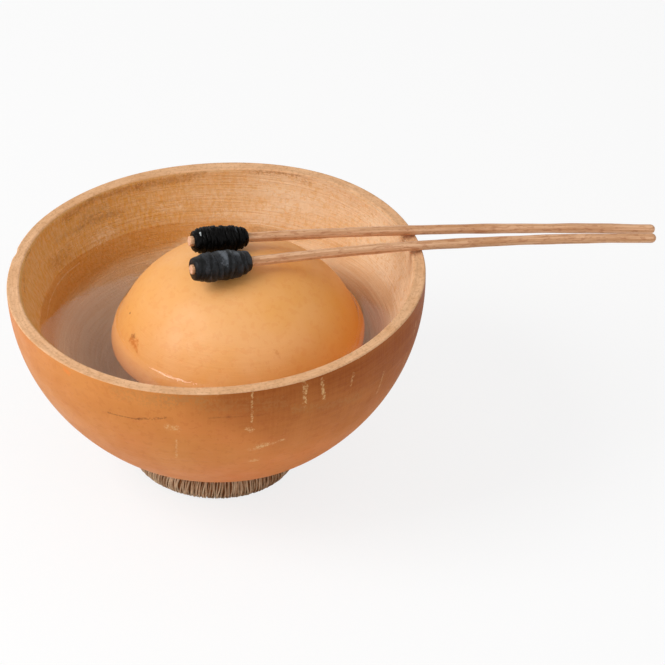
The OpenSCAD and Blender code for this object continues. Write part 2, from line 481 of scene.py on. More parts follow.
class Bench:
    """Lays nodes in one tree with few words."""

    def __init__(self, tree: Tree) -> None:
        """Works on one tree."""
        self.tree = tree

    def add(self, kind: str, **settings: object) -> Node:
        """Adds a node and sets its properties.

        Args:
            kind: The node's type.
            **settings: Its properties by name.

        Returns:
            The node.
        """
        node = self.tree.nodes.new(kind)
        for key, value in settings.items():
            setattr(node, key, value)
        return node

    def feed(self, node: Node, **inputs: object) -> Node:
        """Links sockets into a node's inputs or sets their values.

        Args:
            node: The node that is fed.
            **inputs: Input names with _ for a space, or i0, i1 for a place in the row.

        Returns:
            The same node.
        """
        for key, value in inputs.items():
            place = int(key[1:]) if key[0] == "i" and key[1:].isdigit() else key.replace("_", " ")
            socket = node.inputs[place]
            if isinstance(value, Socket):
                self.tree.links.new(value, socket)
            elif socket.type == "RGBA":
                socket.default_value = (*value, 1.0)
            else:
                socket.default_value = value
        return node

    def math(self, way: str, *values: object, clamp: bool = False) -> Socket:
        """A Math node's result."""
        node = self.add("ShaderNodeMath", operation=way, use_clamp=clamp)
        return self.feed(node, **{f"i{k}": value for k, value in enumerate(values)}).outputs[0]

    def times(self, first: object, second: object) -> Socket:
        """Product of two values."""
        return self.math("MULTIPLY", first, second)

    def plus(self, first: object, second: object) -> Socket:
        """Sum of two values."""
        return self.math("ADD", first, second)

    def minus(self, first: object, second: object) -> Socket:
        """Difference of two values."""
        return self.math("SUBTRACT", first, second)

    def rest(self, value: object) -> Socket:
        """What a value leaves of 1."""
        return self.minus(1.0, value)

    def sum(self, first: object, *others: tuple[object, float]) -> Socket:
        """A value, and others by their weights added to it."""
        for value, weight in others:
            first = self.plus(first, self.times(value, weight))
        return first

    def vector(self, way: str, *values: object, **named: object) -> Socket:
        """A Vector Math node's result, a vector or a measure.

        Args:
            way: What the node does.
            *values: Its vectors.
            **named: Its other inputs by name.

        Returns:
            Its vector, or its measure where it gives one.
        """
        node = self.add("ShaderNodeVectorMath", operation=way)
        self.feed(node, **{f"i{k}": value for k, value in enumerate(values)}, **named)
        return node.outputs["Value" if way in ("DOT_PRODUCT", "LENGTH") else "Vector"]

    def span(self, value: object, low: object, high: object, to: tuple[float, float] = (0.0, 1.0)) -> Socket:
        """Maps a value smoothly from one span to another.

        Args:
            value: The value.
            low: Where the first span starts.
            high: Where it ends.
            to: Start and end of the second span.

        Returns:
            The mapped value.
        """
        node = self.add("ShaderNodeMapRange", interpolation_type="SMOOTHSTEP")
        self.feed(node, Value=value, From_Min=low, From_Max=high, To_Min=to[0], To_Max=to[1])
        return node.outputs["Result"]

    def mix(self, share: object, first: object, second: object, way: str = "MIX") -> Socket:
        """Mixes two colours."""
        node = self.add("ShaderNodeMix", data_type="RGBA", blend_type=way)
        return self.feed(node, i0=share, i6=first, i7=second).outputs[2]

    def noise(self, where: object, size: object, detail: float = 4.0, rough: float = 0.55) -> Socket:
        """A Noise Texture's value."""
        node = self.add("ShaderNodeTexNoise")
        return self.feed(node, Vector=where, Scale=size, Detail=detail, Roughness=rough).outputs[0]

    def bump(self, height: object, strength: float, distance: float) -> Socket:
        """The normal that a height gives, over a distance in metres."""
        node = self.add("ShaderNodeBump")
        return self.feed(node, Strength=strength, Distance=distance, Height=height).outputs[0]


class Effect(Enum):
    """Effects that more than one finish uses."""

    MOTTLE = "mottle"
    FIBRE = "fibre"
    FLECKS = "flecks"
    STROKE = "stroke"
    SCUFF = "scuff"


class Effects:
    """Builds each shared effect once, as a node group."""

    def __init__(self) -> None:
        """Builds the groups."""
        self.groups: dict[Effect, Tree] = {}
        self._mottle()
        self._fibre()
        self._flecks()
        self._stroke()
        self._scuff()

    def _start(self, effect: Effect, with_colour: bool = False, **inputs: object) -> tuple:
        """Starts a group that gives a mask.

        Args:
            effect: The effect that it is.
            with_colour: Whether it gives a colour too.
            **inputs: Names of its inputs, with a number, a vector or a colour each.

        Returns:
            The group's bench, its input sockets and its output node.
        """
        tree = bpy.data.node_groups.new(effect.value, "ShaderNodeTree")
        for key, value in inputs.items():
            kind = "Float" if isinstance(value, float) else "Vector" if len(value) == 3 else "Color"
            socket = tree.interface.new_socket(key, in_out="INPUT", socket_type=f"NodeSocket{kind}")
            socket.default_value = value
        if with_colour:
            tree.interface.new_socket("Colour", in_out="OUTPUT", socket_type="NodeSocketColor")
        tree.interface.new_socket("Mask", in_out="OUTPUT", socket_type="NodeSocketFloat")
        self.groups[effect] = tree
        bench = Bench(tree)
        return bench, bench.add("NodeGroupInput").outputs[: len(inputs)], bench.add("NodeGroupOutput")

    def _mottle(self) -> None:
        """Cloudy change between two colours, with a finer cloud inside the first."""
        bench, (where, size, bias, light, dark), out = self._start(
            Effect.MOTTLE, True, Where=ORIGIN, Size=20.0, Bias=0.5, Light=(1, 1, 1, 1), Dark=(0, 0, 0, 1)
        )
        wide = bench.noise(where, size, 5.0, 0.6)
        fine = bench.noise(where, bench.times(size, 5.3), 3.0)
        both = bench.sum(bench.times(wide, 0.74), (fine, 0.26))
        mask = bench.span(both, bench.minus(bias, 0.17), bench.plus(bias, 0.17))
        bench.feed(out, Colour=bench.mix(mask, light, dark), Mask=mask)

    def _fibre(self) -> None:
        """Fine threads along one way of a stretched space."""
        bench, (where, stretch, sharp), out = self._start(
            Effect.FIBRE, Where=ORIGIN, Stretch=(1.0, 1.0, 1.0), Sharp=0.5
        )
        thread = bench.noise(bench.vector("MULTIPLY", where, stretch), 1.0, 6.0, 0.62)
        half = bench.times(sharp, 0.24)
        bench.feed(out, Mask=bench.span(thread, bench.plus(0.26, half), bench.minus(0.74, half)))

    def _flecks(self) -> None:
        """Scattered small spots of uneven size."""
        bench, (where, size, amount), out = self._start(Effect.FLECKS, Where=ORIGIN, Size=200.0, Amount=0.3)
        cells = bench.feed(bench.add("ShaderNodeTexVoronoi"), Vector=where, Scale=size)
        keep = bench.noise(where, bench.times(size, 0.45), 2.0)
        reach = bench.times(bench.span(keep, 0.42, 0.72), amount)
        away = bench.span(cells.outputs["Distance"], bench.times(reach, 0.35), reach)
        bench.feed(out, Mask=bench.rest(away))

    def _stroke(self) -> None:
        """A ragged mark along the line from one place to another."""
        bench, (where, start, end, width, ragged, grit), out = self._start(
            Effect.STROKE, Where=ORIGIN, From=ORIGIN, To=ORIGIN, Width=0.002, Ragged=0.5, Grit=700.0
        )
        line = bench.vector("SUBTRACT", end, start)
        reach = bench.vector("SUBTRACT", where, start)
        along, whole_line = bench.vector("DOT_PRODUCT", reach, line), bench.vector("DOT_PRODUCT", line, line)
        nearest = bench.vector("SCALE", line, Scale=bench.math("DIVIDE", along, whole_line, clamp=True))
        away = bench.vector("LENGTH", bench.vector("SUBTRACT", reach, nearest))
        uneven = bench.minus(bench.noise(where, grit, 4.0, 0.65), 0.42)
        torn = bench.times(bench.times(uneven, ragged), bench.times(width, 6.0))
        inside = bench.rest(bench.span(bench.minus(away, torn), bench.times(width, 0.25), width))
        whole = bench.span(bench.noise(where, bench.times(grit, 0.45), 3.0), 0.4, 0.58)
        gaps = bench.times(bench.rest(whole), ragged)
        bench.feed(out, Mask=bench.times(inside, bench.rest(gaps)))

    def _scuff(self) -> None:
        """Wear that starts from painted edges and breaks up away from them."""
        bench, (where, edge, size, amount), out = self._start(
            Effect.SCUFF, Where=ORIGIN, Edge=0.0, Size=250.0, Amount=0.5
        )
        grit = bench.minus(bench.noise(where, size, 5.0, 0.65), 0.5)
        bench.feed(out, Mask=bench.span(bench.plus(bench.times(edge, amount), grit), 0.3, 0.62))


# ---------------------------------------------------------------- finishes


@dataclass(frozen=True)
class Mark:
    """A stain, scratch, drip, painted highlight or painted shade on a surface, from one place to another."""

    start: tuple[float, float, float]
    end: tuple[float, float, float]
    width: float
    ragged: float
    colour: Colour
    strength: float


class Coat:
    """A material in the making, and its colour so far."""

    def __init__(self, name: str, effects: Effects | None = None) -> None:
        """Starts a material that may use the shared effects.

        Args:
            name: Name of the material.
            effects: The shared effects, where it uses them.
        """
        self.finish = bpy.data.materials.new(name)
        self.finish.use_nodes = True
        self.effects = effects
        self.bench = Bench(self.finish.node_tree)
        self.shader = self.finish.node_tree.nodes["Principled BSDF"]
        self.colour: Socket | None = None

    def in_object(self) -> Socket:
        """Place in the object's own space."""
        return self.bench.add("ShaderNodeTexCoord").outputs["Object"]

    def painted(self, name: str) -> Socket:
        """A value that the mesh carries."""
        return self.bench.add("ShaderNodeAttribute", attribute_name=name).outputs["Fac"]

    def lie(self) -> Socket:
        """Place along the piece's own growth or winding, which the mesh carries."""
        return self.bench.add("ShaderNodeAttribute", attribute_name="lie").outputs["Vector"]

    def use(self, effect: Effect, **inputs: object) -> Node:
        """Places one shared effect, and feeds it by socket name.

        Args:
            effect: Which effect.
            **inputs: Its values or links by socket name.

        Returns:
            The group node.
        """
        node = self.bench.add("ShaderNodeGroup")
        node.node_tree = self.effects.groups[effect]
        return self.bench.feed(node, **inputs)

    def mottle(
        self, where: Socket, size: float, bias: float, light: object, dark: object
    ) -> tuple[Socket, Socket]:
        """Colour and mask of a cloudy change between two colours."""
        node = self.use(Effect.MOTTLE, Where=where, Size=size, Bias=bias, Light=light, Dark=dark)
        return node.outputs["Colour"], node.outputs["Mask"]

    def fibre(self, where: Socket, stretch: tuple[float, float, float], sharp: float) -> Socket:
        """Mask of fine threads."""
        return self.use(Effect.FIBRE, Where=where, Stretch=stretch, Sharp=sharp).outputs["Mask"]

    def flecks(self, where: Socket, size: float, amount: float) -> Socket:
        """Mask of scattered spots."""
        return self.use(Effect.FLECKS, Where=where, Size=size, Amount=amount).outputs["Mask"]

    def scuff(self, where: Socket, size: float, amount: float) -> Socket:
        """Mask of the wear on painted edges."""
        edge = self.painted("edge")
        return self.use(Effect.SCUFF, Where=where, Edge=edge, Size=size, Amount=amount).outputs["Mask"]

    def lay(self, mask: object, share: float, colour: Colour, way: str = "MIX") -> None:
        """Lays a colour over the one so far, by a share of a mask."""
        self.colour = self.bench.mix(self.bench.times(mask, share), self.colour, colour, way)

    def lay_marks(self, marks: Sequence[Mark]) -> None:
        """Lays marks over the colour so far."""
        where = self.in_object()
        for mark in marks:
            line = {"Where": where, "From": mark.start, "To": mark.end}
            stroke = self.use(Effect.STROKE, **line, Width=mark.width, Ragged=mark.ragged)
            self.lay(stroke.outputs["Mask"], mark.strength, mark.colour)

    def done(self, rough: object, bump: Socket, sheen: float = 0.5) -> Finish:
        """Feeds the shader.

        Args:
            rough: Roughness.
            bump: The normal.
            sheen: Level of specular reflection.

        Returns:
            The finished material.
        """
        self.bench.feed(self.shader, Base_Color=self.colour, Roughness=rough, Normal=bump)
        self.bench.feed(self.shader, Specular_IOR_Level=sheen)
        return self.finish

    def done_with(self, share: Socket, other: Node) -> Finish:
        """Mixes another shader into this one.

        Args:
            share: How much of the other shader shows.
            other: The other shader's node.

        Returns:
            The finished material.
        """
        both = self.bench.add("ShaderNodeMixShader")
        self.bench.feed(both, i0=share, i1=self.shader.outputs[0], i2=other.outputs[0])
        self.bench.feed(self.finish.node_tree.nodes["Material Output"], Surface=both.outputs[0])
        return self.finish


@dataclass(frozen=True)
class GourdSkin:
    """The waxed outer skin of a dried gourd, with painted light and shade across it."""

    name: str
    light: Colour
    dark: Colour
    ruddy: Colour
    bare: Colour
    rough: float
    sheen: float
    bands: float
    painted_shade: Colour
    lean: float
    shade_upward: float
    pits: float
    scuffed: float
    marks: tuple[Mark, ...] = ()

    def make(self, effects: Effects) -> Finish:
        """Builds the skin.

        Args:
            effects: The shared effects.

        Returns:
            The material.
        """
        coat = Coat(self.name, effects)
        bench, where, lie = coat.bench, coat.in_object(), coat.lie()
        cloud, cloudy = coat.mottle(where, size=9.0, bias=0.5, light=self.light, dark=self.dark)
        blush, _ = coat.mottle(where, size=4.0, bias=0.56, light=cloud, dark=self.ruddy)
        band = coat.fibre(lie, stretch=(8.0, 8.0, 330.0), sharp=0.3)
        warp = coat.fibre(lie, stretch=(520.0, 520.0, 30.0), sharp=0.45)
        speck = coat.flecks(where, size=340.0, amount=0.2)
        parts = bench.feed(bench.add("ShaderNodeSeparateXYZ"), Vector=where).outputs
        # Painted light and shade: paler on the left, where the light falls, and darker towards the right and, where
        # set, towards the top; a noise breaks the change up as random tone.
        side = bench.plus(bench.times(parts["X"], self.lean), bench.noise(where, 7.0, 3.0))
        side = bench.sum(side, (bench.minus(parts["Z"], 0.15), self.shade_upward))
        coat.colour = bench.mix(bench.span(side, 0.58, 1.42), blush, self.painted_shade)
        coat.lay(band, self.bands, self.dark)
        coat.lay(warp, self.bands * 0.5, self.light)
        coat.lay(speck, self.pits, self.dark, "MULTIPLY")
        coat.lay_marks(self.marks)
        worn = coat.scuff(where, size=260.0, amount=self.scuffed)
        coat.lay(worn, 1.0, self.bare)
        rough = bench.sum(bench.span(cloudy, 0.0, 1.0, (self.rough - 0.06, self.rough + 0.08)), (worn, 0.2))
        height = bench.sum(bench.times(band, 0.35), (speck, -0.4), (bench.noise(where, 520.0, 4.0), 0.3))
        return coat.done(rough, bench.bump(height, 0.35, 0.0006), self.sheen)


@dataclass(frozen=True)
class SawnRim:
    """The cut edge of the gourd, pale and flecked."""

    name: str
    light: Colour
    dark: Colour
    fleck: Colour

    def make(self, effects: Effects) -> Finish:
        """Builds the cut edge.

        Args:
            effects: The shared effects.

        Returns:
            The material.
        """
        coat = Coat(self.name, effects)
        bench, where, lie = coat.bench, coat.in_object(), coat.lie()
        coat.colour, _ = coat.mottle(where, size=26.0, bias=0.54, light=self.light, dark=self.dark)
        pore = coat.flecks(where, size=760.0, amount=0.2)
        coat.lay(coat.fibre(lie, stretch=(12.0, 12.0, 700.0), sharp=0.3), 0.22, self.dark)
        coat.lay(pore, 0.32, self.fleck)
        coat.lay(coat.fibre(lie, stretch=(55.0, 55.0, 260.0), sharp=0.4), 0.3, self.fleck)
        coat.lay(coat.scuff(where, size=330.0, amount=0.42), 0.35, self.fleck)
        height = bench.sum(bench.noise(where, 700.0, 5.0, 0.65), (pore, -0.8))
        return coat.done(bench.span(pore, 0.0, 1.0, (0.72, 0.9)), bench.bump(height, 0.6, 0.0007), 0.3)


@dataclass(frozen=True)
class GourdFlesh:
    """The scraped inner wall: darker on one side, partly its own stain and partly painted shade; darker where water
    has wetted it; painted light deep under water.
    """

    name: str
    light: Colour
    dark: Colour
    stain_and_shade: Colour
    wet: Colour
    deep_painted_light: Colour
    level: float
    lean: float
    marks: tuple[Mark, ...] = ()

    def make(self, effects: Effects) -> Finish:
        """Builds the inner wall.

        Args:
            effects: The shared effects.

        Returns:
            The material.
        """
        coat = Coat(self.name, effects)
        bench, where, lie = coat.bench, coat.in_object(), coat.lie()
        parts = bench.feed(bench.add("ShaderNodeSeparateXYZ"), Vector=where).outputs
        drift = bench.noise(where, 11.0, 4.0, 0.6)
        # Where lean is not 0 the wall turns darker to the left: partly its own stain and partly painted shade, broken
        # up by a noise.
        shade = bench.span(bench.sum(bench.times(parts["X"], self.lean), (drift, 1.4)), 0.1, 1.25)
        shy = bench.rest(bench.times(shade, 0.75))
        cloud, _ = coat.mottle(where, size=17.0, bias=0.52, light=self.light, dark=self.dark)
        scrape = coat.fibre(lie, stretch=(13.0, 13.0, 420.0), sharp=0.35)
        thread = coat.fibre(lie, stretch=(330.0, 330.0, 150.0), sharp=0.5)
        patch = coat.fibre(lie, stretch=(10.0, 10.0, 60.0), sharp=0.3)
        pore = coat.flecks(where, size=520.0, amount=0.34)
        coat.colour = bench.mix(shade, self.stain_and_shade, cloud)
        coat.lay(bench.times(patch, shy), 0.8, self.stain_and_shade)
        coat.lay(bench.times(scrape, shy), 0.4, self.stain_and_shade)
        coat.lay(thread, 0.28, self.light)
        coat.lay(pore, 0.3, self.stain_and_shade)
        tide = bench.sum(parts["Z"], (bench.minus(drift, 0.5), 0.005))
        soaked = bench.rest(bench.span(tide, self.level, self.level + 0.0016))
        # Below the waterline the wetted wall is darker, more so on the left where the painted shade lies.
        coat.lay(bench.times(soaked, shy), 1.0, self.wet, "MULTIPLY")
        # Deep under water the wall takes the deep colour, which reaches higher on the right; on the bowl this is
        # painted light.
        deep = bench.sum(tide, (shade, -0.04))
        coat.lay(bench.rest(bench.span(deep, self.level - 0.055, self.level - 0.03)), 0.62, self.deep_painted_light)
        coat.lay(bench.times(scrape, soaked), 0.3, self.stain_and_shade)
        coat.lay_marks(self.marks)
        height = bench.sum(bench.times(scrape, 0.8), (thread, 0.35), (pore, -0.5))
        return coat.done(bench.span(soaked, 0.0, 1.0, (0.78, 0.5)), bench.bump(height, 0.5, 0.0009), 0.3)


@dataclass(frozen=True)
class TurnedWood:
    """Peeled pale stick wood with a long grain."""

    name: str
    light: Colour
    dark: Colour
    long_grain: float
    cross_grain: float
    rough: float

    def make(self, effects: Effects) -> Finish:
        """Builds the wood.

        Args:
            effects: The shared effects.

        Returns:
            The material.
        """
        coat = Coat(self.name, effects)
        bench, lie = coat.bench, coat.lie()
        grain = coat.fibre(lie, stretch=(self.long_grain, self.cross_grain, self.cross_grain), sharp=0.45)
        pore = coat.flecks(bench.vector("MULTIPLY", lie, (0.25, 1.0, 1.0)), size=900.0, amount=0.45)
        coat.colour, _ = coat.mottle(lie, size=9.0, bias=0.6, light=self.light, dark=self.dark)
        coat.lay(grain, 0.75, self.dark)
        coat.lay(pore, 0.35, self.dark, "MULTIPLY")
        coat.lay(coat.scuff(lie, size=420.0, amount=0.5), 0.5, self.dark)
        rough = bench.span(grain, 0.0, 1.0, (self.rough - 0.07, self.rough + 0.07))
        return coat.done(rough, bench.bump(bench.minus(grain, pore), 0.4, 0.0003), 0.25)


@dataclass(frozen=True)
class RubberStrip:
    """Cut rubber strip, stretched tight, with chalky bloom on its high places and painted shade towards the edge that
    the next turn covers.
    """

    name: str
    deep: Colour
    bloom: Colour
    rough: float
    sheen: float
    bloomed: float
    marks: tuple[Mark, ...] = ()

    def make(self, effects: Effects) -> Finish:
        """Builds the rubber.

        Args:
            effects: The shared effects.

        Returns:
            The material.
        """
        coat = Coat(self.name, effects)
        bench, lie = coat.bench, coat.lie()
        cloud, cloudy = coat.mottle(lie, size=95.0, bias=0.5, light=self.bloom, dark=self.deep)
        pull = coat.fibre(lie, stretch=(900.0, 120.0, 120.0), sharp=0.4)
        grit = coat.flecks(lie, size=900.0, amount=0.5)
        # The painted tone carries painted shade near the covered edge of each turn, and random tone from turn to turn.
        bloom_and_lap_shade = bench.sum(coat.painted("tone"), (pull, 0.35))
        coat.colour = bench.mix(bench.math("MULTIPLY", bloom_and_lap_shade, self.bloomed, clamp=True), self.deep, cloud)
        coat.lay(coat.scuff(lie, size=500.0, amount=0.6), 0.6 * self.bloomed, self.bloom)
        coat.lay_marks(self.marks)
        height = bench.sum(bench.times(pull, 0.7), (grit, -0.3))
        rough = bench.span(cloudy, 0.0, 1.0, (self.rough + 0.1, self.rough - 0.06))
        return coat.done(rough, bench.bump(height, 0.45, 0.0004), self.sheen)


@dataclass(frozen=True)
class Straw:
    """Dry grass and bark cord in mixed tans and browns."""

    name: str
    light: Colour
    dark: Colour
    mixed: float

    def make(self, effects: Effects, has_tone: bool) -> Finish:
        """Builds the straw.

        Args:
            effects: The shared effects.
            has_tone: Whether each strand of the mesh carries its own tone.

        Returns:
            The material.
        """
        coat = Coat(self.name, effects)
        bench, where = coat.bench, coat.in_object()
        _, cloudy = coat.mottle(where, size=60.0, bias=0.5, light=self.light, dark=self.dark)
        lie, stretch, tone = where, (260.0, 260.0, 900.0), cloudy
        if has_tone:
            lie, stretch, tone = coat.lie(), (70.0, 1500.0, 1500.0), coat.painted("tone")
        fibre = coat.fibre(lie, stretch, sharp=0.5)
        share = bench.math("MULTIPLY", bench.sum(tone, (cloudy, 0.4)), self.mixed, clamp=True)
        coat.colour = bench.mix(share, self.light, self.dark)
        coat.lay(fibre, 0.5, self.dark, "MULTIPLY")
        return coat.done(bench.span(fibre, 0.0, 1.0, (0.62, 0.88)), bench.bump(fibre, 0.7, 0.0006))


@dataclass(frozen=True)
class StillWater:
    """Clear water with the faintest ripples; light falls straight through it."""

    name: str = "still_water"
    tint: Colour = (1.0, 0.99, 0.965)
    swell: tuple[float, float, float] = (-0.09, 0.03, 0.0)

    def make(self) -> Finish:
        """Builds the water.

        Returns:
            The material.
        """
        coat = Coat(self.name)
        bench, where = coat.bench, coat.in_object()
        long_wave = bench.noise(bench.vector("MULTIPLY", where, (14.0, 60.0, 1.0)), 1.0, 2.0)
        short_wave = bench.noise(bench.vector("MULTIPLY", where, (50.0, 420.0, 1.0)), 1.0, 3.0)
        ripples = bench.bump(bench.sum(long_wave, (short_wave, 0.3)), 0.5, 0.0004)
        swell = bench.vector("SCALE", self.swell, Scale=bench.rest(coat.painted("edge")))
        lean = bench.vector("NORMALIZE", bench.vector("ADD", ripples, swell))
        bench.feed(coat.shader, Base_Color=self.tint, Normal=lean)
        bench.feed(coat.shader, Roughness=0.02, IOR=1.333, Transmission_Weight=1.0)
        rays = bench.add("ShaderNodeLightPath").outputs
        through = bench.math("MAXIMUM", rays["Is Shadow Ray"], rays["Is Diffuse Ray"])
        return coat.done_with(through, bench.add("ShaderNodeBsdfTransparent"))


# ---------------------------------------------------------------- the bowl


# Angle of the bowl's last ring, and how much its rings crowd towards the rim.
NEAR_POLE = math.pi / 2 - 0.0006
CROWDING = 1.15


class BowlZone(Enum):
    """Finishes of the bowl, in the order of its material slots."""

    SKIN = 0
    CUT = 1
    FLESH = 2


@dataclass(frozen=True)
class GourdBowl:
    """The big half gourd: outer skin, sloping cut rim and scraped inner wall."""

    radius: float = 208 * MM
    depth: float = 206 * MM
    rim_z: float = 221.174 * MM
    rim_wall: float = 13 * MM
    belly_wall: float = 22 * MM
    wall_ease: float = 12.0
    slope: float = 2.2
    high_side: float = 8.0
    outer_round: float = 1.4 * MM
    inner_round: float = 2.2 * MM
    notch_at: float = 166.0
    ledge_at: float = -3.0
    columns: int = 420
    rows: int = 84

    def rim_top(self, around: np.ndarray, radius: object) -> np.ndarray:
        """Height of the cut rim at an angle and radius.

        Args:
            around: Angle.
            radius: Radius.

        Returns:
            Height above the floor.
        """
        lean = math.tan(math.radians(self.slope))
        level = self.rim_z + lean * radius * np.cos(around - math.radians(self.high_side))
        return level + 0.25 * MM * np.sin(5 * around + 1.0) * np.sin(2 * around)

    def uneven(self, around: np.ndarray) -> np.ndarray:
        """How far the rear half of the gourd falls short of a true circle."""
        shoulder = 3.0 * MM * np.exp(-(((np.mod(around, 2 * math.pi) - 2.66) / 0.3) ** 2))
        return 2.6 * MM * np.cos(4 * around) * np.clip(np.sin(around), 0.0, 1.0) ** 2 - shoulder

    def outer(self, a: np.ndarray) -> tuple[np.ndarray, np.ndarray]:
        """Radius and height of the skin; a runs from the rim at 0 to the pole at 90 degrees."""
        return self.radius * np.cos(a), self.rim_z - self.depth * np.sin(a)

    def wall(self, a: np.ndarray) -> np.ndarray:
        """Thickness of the wall."""
        thin = np.exp(-((np.maximum(np.degrees(a), 0.0) / self.wall_ease) ** 2))
        return self.belly_wall - (self.belly_wall - self.rim_wall) * thin

    def inner(self, a: np.ndarray, more: object = 0.0) -> tuple[np.ndarray, np.ndarray]:
        """Radius and height of the inner wall, or of a surface more inside it.

        Args:
            a: Angle from the rim to the pole.
            more: How far inside the wall the surface lies.

        Returns:
            Radius and height.
        """
        r, z = self.outer(a)
        across, down = self.depth * np.cos(a), -self.radius * np.sin(a)
        size = np.hypot(across, down)
        wall = self.wall(a) + more
        return r - wall * across / size, z - wall * down / size

    def angle_at(self, height: np.ndarray, inside: bool) -> np.ndarray:
        """The angle a at which a wall reaches a height, by halving.

        Args:
            height: The height.
            inside: Whether the inner wall is meant.

        Returns:
            The angle.
        """
        low, high = np.full_like(height, -0.2), np.full_like(height, 0.8)
        for _ in range(40):
            middle = (low + high) / 2
            z = (self.inner(middle) if inside else self.outer(middle))[1]
            above = z > height
            low, high = np.where(above, middle, low), np.where(above, high, middle)
        return (low + high) / 2

    def water_radius(self, level: float) -> float:
        """Radius of the inner wall at a level."""
        a = self.angle_at(np.array([level]), True)
        return float(self.inner(a)[0][0])

    def _near(self, around: np.ndarray, at: float, reach: float) -> np.ndarray:
        """1 at an angle in degrees, falling to 0 at reach degrees from it."""
        away = np.abs((np.degrees(around) - at + 180.0) % 360.0 - 180.0)
        return ease(1 - away / reach)

    def build(self, skin: Finish, cut: Finish, flesh: Finish) -> Piece:
        """Builds the bowl as one closed mesh.

        Args:
            skin: Finish of the outside.
            cut: Finish of the cut rim.
            flesh: Finish of the inside.

        Returns:
            The bowl.
        """
        around = circle(self.columns)
        points, lie, edges, zones = [], [], [], []

        def add_ring(r: np.ndarray, z: np.ndarray, along: object, edge: object, zone: BowlZone) -> None:
            """Adds a ring by radius and height, and what is painted on it.

            Args:
                r: Radius.
                z: Height.
                along: Distance along the growth.
                edge: How near a worn edge it is.
                zone: Its finish.
            """
            points.append(ring_of(r, around, z))
            lie.append(ring_of(self.radius, around, along))
            edges.append(edge + 0 * around)
            zones.append(zone.value)

        top_out = self.rim_top(around, self.radius)
        start = self.angle_at(top_out - self.outer_round, False)
        for t in np.linspace(1, 0, self.rows) ** CROWDING:
            a = start + (NEAR_POLE - start) * t
            r, z = self.outer(a)
            sunk = ease(np.full_like(a, (r.mean() - 70 * MM) / (60 * MM)))
            r = r - sunk * (0.5 * MM + 0.5 * MM * np.sin(3 * around + 2 * a) + 0.3 * MM * np.sin(7 * around))
            r = r - 1.6 * MM * self._near(around, self.notch_at, 3.0) * ease(1 - (top_out - z) / (9 * MM))
            r = r - self.uneven(around) * ease(1 - (top_out - z) / (120 * MM))
            add_ring(r, z, self.depth * t, ease(1 - (top_out - z) / (4 * MM)), BowlZone.SKIN)
        edge_out = r
        r_in_top = self.rim_wall + 0.8 * MM * np.sin(4 * around + 0.6) * np.sin(around) ** 2
        inner_edge = self.radius - r_in_top - self.uneven(around)
        for turn in (30, 60, 90):
            r = edge_out - self.outer_round * (1 - math.cos(math.radians(turn)))
            z = self.rim_top(around, r) - self.outer_round * (1 - math.sin(math.radians(turn)))
            add_ring(r, z, self.depth, 1 - 0.1 * turn / 90, BowlZone.CUT)
        outer_lip, inner_lip = edge_out - self.outer_round, inner_edge + self.inner_round
        for t in np.linspace(0.12, 0.88, 9):
            r = outer_lip + (inner_lip - outer_lip) * t
            dip = 0.22 * MM * np.sin(23 * around + 6 * t) * np.sin(9 * around + 9 * t)
            dip = dip + 0.35 * MM * math.sin(math.pi * t)
            z = self.rim_top(around, r) - dip
            add_ring(r, z, self.depth + 0.02 * t, 0.35 * abs(2 * t - 1) ** 2, BowlZone.CUT)
        for turn in (90, 60, 30):
            r = inner_lip - self.inner_round * math.cos(math.radians(turn))
            z = self.rim_top(around, r) - self.inner_round * (1 - math.sin(math.radians(turn)))
            add_ring(r, z, self.depth + 0.02, 0.4, BowlZone.CUT)
        start = self.angle_at(self.rim_top(around, self.radius - self.rim_wall) - self.inner_round, True)
        for t in np.linspace(0, 1, self.rows) ** CROWDING:
            a = start + (NEAR_POLE - start) * t
            r, z = self.inner(a)
            down = self.rim_z - z
            belt = np.exp(-(((down - 50 * MM) / (34 * MM)) ** 2))
            thick = 4.0 * MM * self._near(around, 178.0, 80.0) * belt
            ledge = 0 * around
            for at, reach, low, half in ((0, 34.0, 6.5, 1.6), (-4, 28.0, 12.5, 1.8)):
                bump = np.exp(-(((top_out - z - low * MM) / (half * MM)) ** 2))
                ledge = ledge + self._near(around, self.ledge_at + at, reach) * bump
            fade = ease(r / (40 * MM))
            wave = fade * 0.35 * MM * (np.sin(4 * around + 9 * a) + np.sin(9 * around - 4 * a) * 0.6)
            r = r - self.uneven(around) * ease(1 - down / (120 * MM))
            r = r - thick + 0.9 * MM * ledge - wave + (self.rim_wall - r_in_top) * np.exp(-down / (25 * MM))
            add_ring(r, z, 1.0 - down, 0.0, BowlZone.FLESH)
        maker = MeshMaker("bowl_shell")
        maker.add_tube(points, True, [*zones, zones[-1]], lie=lie, edge=edges)
        return maker.make([skin, cut, flesh])


# ---------------------------------------------------------------- the float


